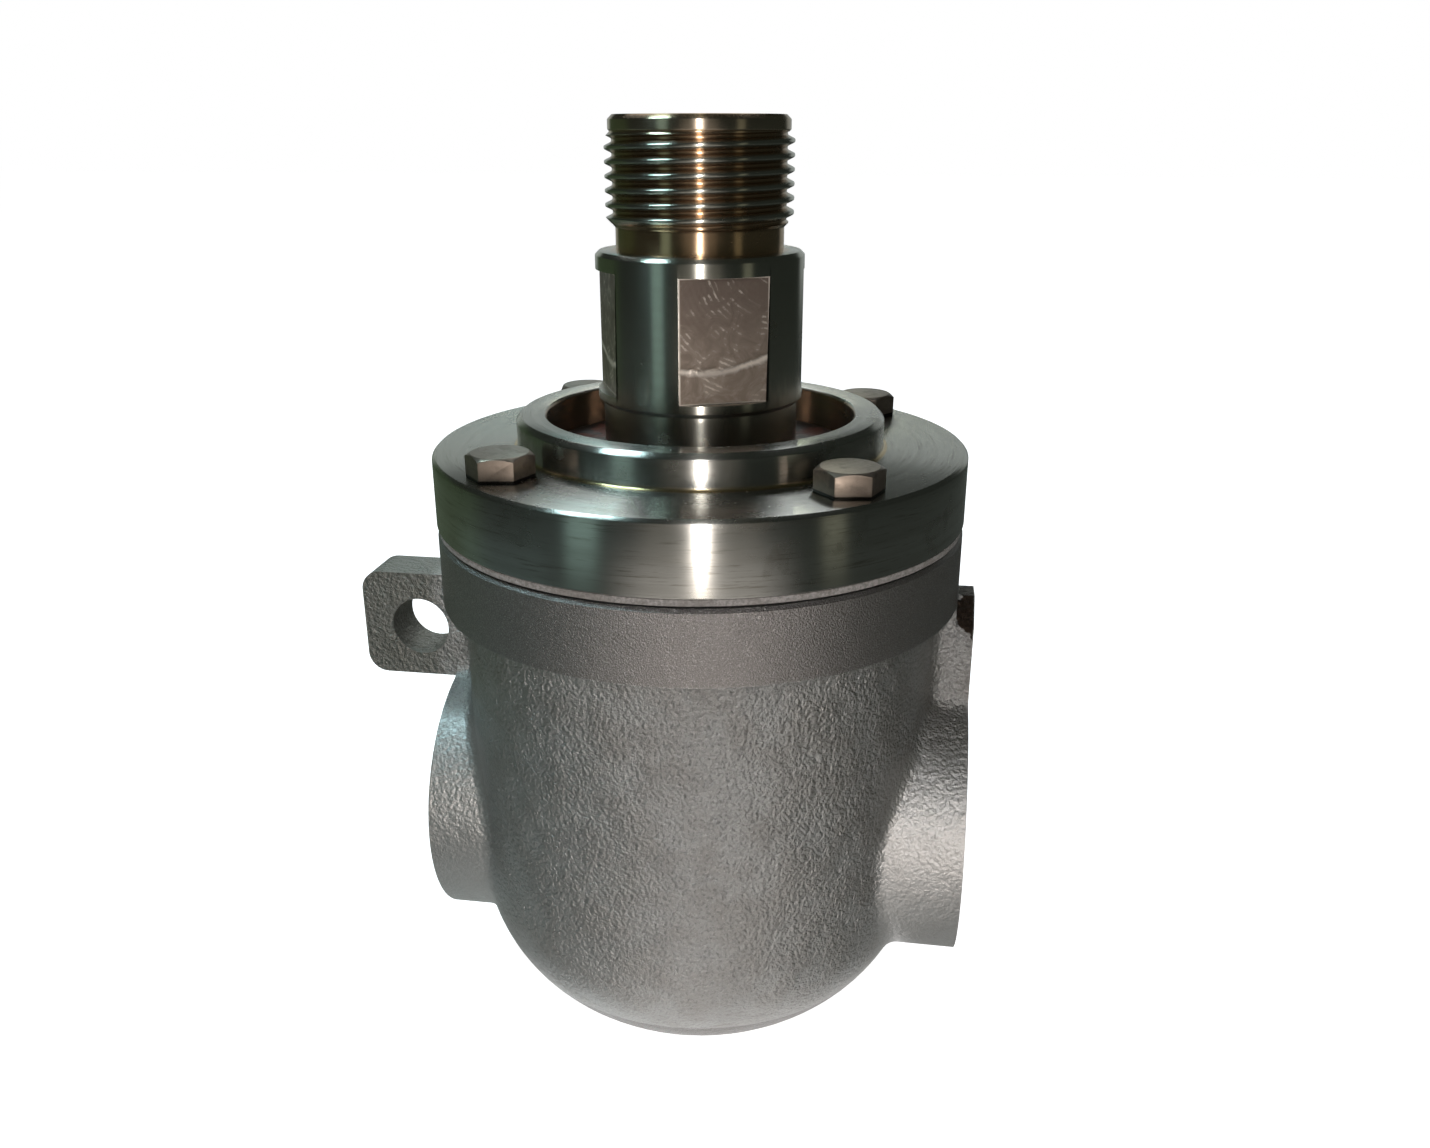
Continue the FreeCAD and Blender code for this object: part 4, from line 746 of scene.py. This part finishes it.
def flat_cutters():
    """Four blocks whose inner faces are the wrench flats."""
    cutters = bmesh.new()
    depth = 6 * MM
    width = 60 * MM
    middle = (FLAT_DISTANCE + depth / 2, 0, (FLAT_TOP + FLAT_BOTTOM) / 2)
    for quarter in range(4):
        made = bmesh.ops.create_cube(cutters, size=1.0)["verts"]
        bmesh.ops.scale(cutters, verts=made, vec=(depth, width, FLAT_TOP - FLAT_BOTTOM))
        bmesh.ops.translate(cutters, verts=made, vec=middle)
        turn = FLAT_TURN - math.radians(90) + quarter * math.radians(90)
        bmesh.ops.rotate(cutters, verts=made, cent=(0, 0, 0), matrix=Matrix.Rotation(turn, 3, "Z"))
    return cutters


def shape_faces_between(shape, low, high):
    """Faces whose middle lies between two heights."""
    return [face for face in shape.faces if low - 1e-5 < face.calc_center_median().z < high + 1e-5]


def is_flat_rim(edge):
    """Whether an edge bounds a wrench flat."""
    kinds = {face.material_index for face in edge.link_faces}
    return len(edge.link_faces) == 2 and kinds == {0, 1}


def rotor_thread():
    """The metric thread: one pitch of its rounded outline carried round the axis, cut to length."""
    start = THREAD_BOTTOM - THREAD_PITCH
    outline = []
    for part in range(THREAD_PARTS + 1):
        share = part / THREAD_PARTS - 0.5
        rise = min(1.0, max(0.0, 0.5 + THREAD_FULLNESS * math.cos(math.tau * share)))
        outline.append((THREAD_ROOT + rise * (THREAD_RADIUS - THREAD_ROOT), start + share * THREAD_PITCH))
    turns = math.ceil((THREAD_TOP - THREAD_BOTTOM) / THREAD_PITCH) + 2
    shape = spun(outline, closed=False, steps=120, turns=turns, pitch=THREAD_PITCH)
    bmesh.ops.remove_doubles(shape, verts=shape.verts[:], dist=1e-6)
    sunk = 0.3 * MM
    proud = 0.1 * MM
    for point in shape.verts:
        reach = point.co.xy.length
        lead_in = PILOT_RADIUS - sunk + max(0.0, THREAD_TOP - point.co.z)
        run_out = RELIEF_RADIUS + proud + max(0.0, point.co.z - THREAD_BOTTOM)
        limit = min(reach, lead_in, run_out)
        point.co.xy *= limit / reach
    for height, side in ((THREAD_BOTTOM, -1), (THREAD_TOP + sunk, 1)):
        everything = shape.verts[:] + shape.edges[:] + shape.faces[:]
        bmesh.ops.bisect_plane(shape, geom=everything, plane_co=(0, 0, height), plane_no=(0, 0, side),
                               clear_outer=True)
    open_edges = [edge for edge in shape.edges if edge.is_boundary]
    bmesh.ops.holes_fill(shape, edges=open_edges)
    bmesh.ops.recalc_face_normals(shape, faces=shape.faces[:])
    return shape


def build_rotor():
    """The rotor as two pieces that stand for its one solid."""
    piece_from(rotor_shaft(), "rotor_shaft", [MATERIALS["rotor_steel"], MILLED_FLAT], "rotor",
               stands_for=("rotor",), sharp=22)
    piece_from(rotor_thread(), "rotor_thread", [MATERIALS["rotor_steel"]], "rotor",
               stands_for=("rotor",), sharp=40)


# Cover


def build_cover():
    """The turned cover with its bolt flange, raised ring and bearing sleeve."""
    foot = []
    for part in range(FOOT_PARTS + 1):
        turn = math.radians(90) * part / FOOT_PARTS
        out = HUB_ROUND * (1 - math.sin(turn))
        up = HUB_ROUND * (1 - math.cos(turn))
        foot.append((HUB_RADIUS + out, FLANGE_TOP + up))
    outline = [
        (BEARING_RADIUS, SLEEVE_BOTTOM),
        (SLEEVE_RADIUS, SLEEVE_BOTTOM),
        (SLEEVE_RADIUS, FLANGE_BOTTOM),
        (FLANGE_RADIUS - FLANGE_EASE, FLANGE_BOTTOM),
        (FLANGE_RADIUS, FLANGE_BOTTOM + FLANGE_EASE),
        (FLANGE_RADIUS, FLANGE_TOP - FLANGE_CHAMFER),
        (FLANGE_RADIUS - FLANGE_CHAMFER, FLANGE_TOP),
        *foot,
        (HUB_RADIUS, HUB_TOP - HUB_CHAMFER),
        (HUB_RADIUS - HUB_CHAMFER, HUB_TOP),
        (SEAL_RADIUS + BORE_CHAMFER, HUB_TOP),
        (SEAL_RADIUS, HUB_TOP - BORE_CHAMFER),
        (SEAL_RADIUS, SEAL_BOTTOM),
        (SHOULDER_RADIUS, SEAL_BOTTOM),
        (SHOULDER_RADIUS, BEARING_TOP),
        (BEARING_RADIUS, BEARING_TOP),
    ]
    piece_from(turned(outline, soften=0.15 * MM), "cover_turned_body", [MATERIALS["turned_cover"]], "stator",
               stands_for=("cover",), sharp=22)


def build_gasket():
    """The gasket, its outer edge a little uneven where it was cut."""
    edge = FLANGE_RADIUS - FLANGE_EASE
    set_back = edge - 0.9 * MM
    shape = turned([
        (GASKET_INNER, JOINT_FACE),
        (set_back, JOINT_FACE),
        (set_back + 0.2 * MM, JOINT_FACE + 0.4 * MM),
        (edge, JOINT_FACE + 0.6 * MM),
        (edge, FLANGE_BOTTOM),
        (GASKET_INNER, FLANGE_BOTTOM),
    ], soften=0.12 * MM)
    unevenness = 0.0006
    inner_edge = GASKET_INNER + 5 * MM
    for point in shape.verts:
        angle = math.atan2(point.co.y, point.co.x)
        if point.co.xy.length > inner_edge:
            wave = math.sin(11 * angle) + 0.7 * math.sin(29 * angle + 1.0) + 0.5 * math.sin(53 * angle + 2.0)
            point.co.xy *= 1 + unevenness * wave
    piece_from(shape, "gasket_cut_sheet", [MATERIALS["gasket_sheet"]], "stator",
               stands_for=("cover_gasket",))


# Spring


def build_spring():
    """The square-wire coil of the floating seal, fixed where its solid stands."""
    low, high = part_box("seal_spring")
    inner = high.x - SPRING_WIRE
    above_foot = low.z + SPRING_WIRE
    wire = [(inner, low.z), (high.x, low.z), (high.x, above_foot), (inner, above_foot)]
    coil = spun(wire, closed=True, steps=72, turns=SPRING_TURNS, pitch=(high.z - above_foot) / SPRING_TURNS)
    bmesh.ops.holes_fill(coil, edges=[edge for edge in coil.edges if edge.is_boundary])
    bmesh.ops.recalc_face_normals(coil, faces=coil.faces[:])
    spring = piece_from(coil, "seal_spring_coil", [MATERIALS["spring_steel"]], None,
                        stands_for=("seal_spring",))
    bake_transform(spring)


# Bolts


def hexagon_head():
    """A hexagon bolt with its head's corners cut by a cone, standing on the flange at the axis."""
    head = bmesh.new()
    corner_radius = HEAD_FLATS / math.sqrt(3)
    ring = bmesh.ops.create_circle(head, cap_ends=True, segments=6, radius=corner_radius)["verts"]
    bmesh.ops.rotate(head, verts=ring, cent=(0, 0, 0), matrix=Matrix.Rotation(math.radians(30), 3, "Z"))
    bmesh.ops.translate(head, verts=ring, vec=(0, 0, FLANGE_TOP))
    raised = bmesh.ops.extrude_face_region(head, geom=head.faces[:])["geom"]
    top = [item for item in raised if isinstance(item, bmesh.types.BMVert)]
    bmesh.ops.translate(head, verts=top, vec=(0, 0, HEAD_HEIGHT))
    bmesh.ops.recalc_face_normals(head, faces=head.faces[:])
    drop = (corner_radius + MM - HEAD_LAND) * math.tan(math.radians(30))
    blank = turned([
        (0, FLANGE_TOP - MM),
        (corner_radius + MM, FLANGE_TOP - MM),
        (corner_radius + MM, FLANGE_TOP + HEAD_HEIGHT - drop),
        (HEAD_LAND, FLANGE_TOP + HEAD_HEIGHT),
        (0, FLANGE_TOP + HEAD_HEIGHT),
    ], soften=0.01 * MM, steps=72)
    return cut_away(head, blank, "INTERSECT")


def build_bolts():
    """The four cover bolts, each turned on its own axis as it came to rest."""
    for label, angle, twist in (("bolt_back_right", 45, 10), ("bolt_back_left", 135, 22),
                                ("bolt_front_left", 225, 25), ("bolt_front_right", 315, -5)):
        shape = hexagon_head()
        spot = math.radians(angle)
        bmesh.ops.rotate(shape, verts=shape.verts[:], cent=(0, 0, 0),
                         matrix=Matrix.Rotation(spot + math.radians(twist), 3, "Z"))
        bmesh.ops.translate(shape, verts=shape.verts[:],
                            vec=(BOLT_CIRCLE * math.cos(spot), BOLT_CIRCLE * math.sin(spot), 0))
        sharp_edges = [edge for edge in shape.edges if edge.calc_face_angle(0) > math.radians(25)]
        soften_edges(shape, sharp_edges, 0.12 * MM)
        piece_from(shape, f"{label}_head", [MATERIALS["bolt_steel"]], "stator",
                   stands_for=(label,), sharp=22)


# Studio


CAMERA_PLACE = (0.0473, -0.2799, 0.2169)
CAMERA_TILT = 69.96
CAMERA_TURN = 8.906
CAMERA_LENS_MM = 30.76

# Azimuths are degrees round the object from its front.
CAMERA_AZIMUTH = 9.6
LAMP_AIM_HEIGHT = 0.12
FLOOR_GLOW = 0.90
SOFT_WORLD = 0.11
ROOM_RADIUS = 1.3
ROOM_OPENING = 0.055
ROOM_FLOOR = 0.003
WALL_TOP = 1.9
ROOF_TOP = 2.4
NEAR_SHADE = (0.058, 0.066, 0.060)
FAR_SHADE = (0.028, 0.033, 0.028)
UNDER_SHADE = (0.27, 0.27, 0.265)
CARD_FADE = 0.08


def place_round(azimuth, elevation, distance):
    """A point at that direction, in degrees, and distance from what the lamps look at."""
    turn = math.radians(azimuth)
    rise = math.radians(elevation)
    return Vector((distance * math.cos(rise) * math.sin(turn),
                   -distance * math.cos(rise) * math.cos(turn),
                   LAMP_AIM_HEIGHT + distance * math.sin(rise)))


def stage_piece(shape, name, material):
    """A piece of the studio from a bmesh."""
    piece = object_of(shape, name, [material])
    return piece


def seen_plainly(tree):
    """One for what the camera and reflections see, and zero for what lights the object."""
    path = tree.nodes.new("ShaderNodeLightPath")
    return maths(tree, "MAXIMUM", path.outputs["Is Camera Ray"],
                 maths(tree, "MAXIMUM", path.outputs["Is Glossy Ray"], path.outputs["Is Transmission Ray"]))


def make_floor():
    """A plain pale floor that looks white and keeps the object's shadow."""
    shape = bmesh.new()
    bmesh.ops.create_grid(shape, x_segments=1, y_segments=1, size=6.0)
    material, tree, shader = new_material("floor_paper")
    grain = noise(tree, tree.nodes.new("ShaderNodeTexCoord").outputs["Object"], 300.0)
    colour = blend_colours(tree, ramp(tree, grain, 0.3, 0.7), (0.93, 0.93, 0.93, 1), (0.96, 0.96, 0.96, 1))
    lift = times(tree, seen_plainly(tree), FLOOR_GLOW)
    glow = blend_colours(tree, lift, (0, 0, 0, 1), (1, 1, 1, 1))
    set_inputs(tree, shader, Base_Color=colour, Roughness=0.9, Specular_IOR_Level=0.0, Emission_Color=glow,
               Emission_Strength=1.0)
    stage_piece(shape, "studio_floor", material)


def make_world():
    """Soft even light from all round; the camera and reflections see plain white."""
    world = bpy.data.worlds.new("studio_world")
    bpy.context.scene.world = world
    world.use_nodes = True
    world.cycles.sampling_method = "NONE"
    tree = world.node_tree
    tree.nodes.clear()
    soft = add_node(tree, "ShaderNodeBackground", {"Color": (1, 1, 1, 1), "Strength": SOFT_WORLD})
    white = add_node(tree, "ShaderNodeBackground", {"Color": (1, 1, 1, 1), "Strength": 1.0})
    mixed = add_node(tree, "ShaderNodeMixShader", {
        0: seen_plainly(tree), 1: soft.outputs[0], 2: white.outputs[0]})
    add_node(tree, "ShaderNodeOutputWorld", {"Surface": mixed.outputs[0]})


def room_card(tree, azimuth, half_width, edge, start, end, colour):
    """A soft-edged card on the room's floor or wall: its colour where it is, and black beside it.

    Azimuth, half width and edge are degrees round the object. Start and end are metres from the middle of
    the floor, measured outwards along the floor and then up the wall.
    """
    place = tree.nodes.new("ShaderNodeTexCoord")
    turned_to = add_node(tree, "ShaderNodeMapping", {"Vector": place.outputs["Object"],
                                                     "Rotation": (0, 0, -math.radians(azimuth))})
    parts = add_node(tree, "ShaderNodeSeparateXYZ", {"Vector": turned_to.outputs[0]})
    forward = times(tree, parts.outputs["Y"], -1.0)
    off = maths(tree, "ABSOLUTE", maths(tree, "ARCTAN2", parts.outputs["X"], forward))
    beside = ramp(tree, off, math.radians(half_width), math.radians(half_width + edge), 1.0, 0.0)
    out = add_node(tree, "ShaderNodeCombineXYZ", {"X": parts.outputs["X"], "Y": parts.outputs["Y"]})
    reach = add_node(tree, "ShaderNodeVectorMath", {0: out.outputs[0]}, operation="LENGTH")
    path = maths(tree, "ADD", reach.outputs["Value"], parts.outputs["Z"])
    inside = times(tree, ramp(tree, path, start - CARD_FADE, start),
                   ramp(tree, path, end, end + CARD_FADE, 1.0, 0.0))
    share = times(tree, beside, inside)
    return blend_colours(tree, share, (0, 0, 0, 1), (*colour, 1))


def room_light(tree):
    """All that reflections find round the object: dark walls, and the cards that give metal its streaks."""
    cards = [
        # All round
        room_card(tree, 0, 180, 1, 0.0, 0.6, NEAR_SHADE),
        room_card(tree, 0, 180, 1, 0.6, 4.0, FAR_SHADE),
        room_card(tree, 0, 180, 1, 0.0, 0.075, UNDER_SHADE),
        # In front and at the sides
        room_card(tree, CAMERA_AZIMUTH, 18, 24, 0.0, 0.36, (0.60, 0.57, 0.55)),
        room_card(tree, -37, 3.5, 6, 0.4, 2.2, (0.25, 0.38, 0.35)),
        room_card(tree, -120, 20, 20, 0.0, 1.8, (0.025, 0.045, 0.015)),
        room_card(tree, -78, 18, 18, 0.0, 0.4, (0.05, 0.078, 0.080)),
        room_card(tree, CAMERA_AZIMUTH, 16, 12, 0.4, 1.9, (0.115, 0.105, 0.09)),
        room_card(tree, CAMERA_AZIMUTH, 1.3, 1.4, 0.0, 2.5, (0.45, 0.44, 0.42)),
        room_card(tree, 62, 3, 4, 0.4, 1.9, (0.20, 0.20, 0.15)),
        # Behind, for the faces that look up
        room_card(tree, -175, 30, 12, 1.4, 1.84, (0.36, 0.39, 0.385)),
        room_card(tree, -163, 2.5, 2.0, 1.9, 2.8, (0.6, 1.1, 1.08)),
        room_card(tree, 189.6, 1.2, 1.0, 1.9, 2.8, (4.0, 3.9, 3.6)),
        room_card(tree, 183, 0.3, 0.4, 1.9, 2.8, (5.0, 5.6, 4.0)),
    ]
    total = cards[0]
    for card in cards[1:]:
        total = blend_colours(tree, 1.0, total, card, "ADD")
    return total


def make_reflected_room():
    """Dark walls and studio cards all round the object, which only its reflections see."""
    outline = ((ROOM_OPENING, ROOM_FLOOR), (ROOM_RADIUS, ROOM_FLOOR), (ROOM_RADIUS, WALL_TOP), (0, ROOF_TOP))
    shape = spun(outline, closed=False, steps=96)
    material, tree, shader = new_material("reflected_room")
    set_inputs(tree, shader, Base_Color=(0, 0, 0, 1), Roughness=1.0, Specular_IOR_Level=0.0,
               Emission_Color=room_light(tree), Emission_Strength=1.0)
    room = stage_piece(shape, "reflected_room", material)
    room.visible_camera = False
    room.visible_diffuse = False
    room.visible_shadow = False
    room.visible_transmission = False


def add_lamp(name, place, width, tall, watts, colour=(1, 1, 1)):
    """A rectangular soft lamp that looks at the object."""
    lamp = bpy.data.lights.new(name, "AREA")
    lamp.shape = "RECTANGLE"
    lamp.size = width
    lamp.size_y = tall
    lamp.energy = watts
    lamp.color = colour
    item = bpy.data.objects.new(name, lamp)
    item.location = place
    item.rotation_euler = (Vector((0, 0, LAMP_AIM_HEIGHT)) - place).to_track_quat("-Z", "Y").to_euler()
    bpy.context.scene.collection.objects.link(item)
    return item


def light_studio():
    """The floor, the room, two narrow lamps over and under the camera, and soft lamps round them."""
    make_floor()
    make_world()
    make_reflected_room()
    add_lamp("key", place_round(CAMERA_AZIMUTH, 25, 0.7), width=0.04, tall=0.36, watts=1.1)
    front = add_lamp("front_soft", place_round(CAMERA_AZIMUTH - 3, 20, 0.8), width=0.3, tall=0.3, watts=1.2)
    front.visible_glossy = False
    add_lamp("overhead_soft", place_round(-75, 62, 0.9), width=0.14, tall=0.26, watts=3.0,
             colour=(0.62, 0.93, 1.0))
    add_lamp("back_soft", place_round(195, 50, 0.9), width=0.6, tall=0.3, watts=2.2,
             colour=(0.90, 0.97, 1.0))
    add_lamp("low_key", place_round(CAMERA_AZIMUTH, -5, 0.7), width=0.03, tall=0.08, watts=1.15,
             colour=(1.0, 0.93, 0.88))


def place_camera():
    """The camera at the photograph's viewing angle."""
    camera = bpy.data.cameras.new("camera")
    camera.lens = CAMERA_LENS_MM
    camera.sensor_width = 36.0
    camera.sensor_fit = "HORIZONTAL"
    item = bpy.data.objects.new("camera", camera)
    item.location = CAMERA_PLACE
    item.rotation_euler = (math.radians(CAMERA_TILT), 0, math.radians(CAMERA_TURN))
    bpy.context.scene.collection.objects.link(item)
    bpy.context.scene.camera = item


dress_cad_nodes()
build_rotor()
build_cover()
build_gasket()
build_spring()
build_bolts()
light_studio()
place_camera()
bpy.context.scene.view_settings.view_transform = "Standard"
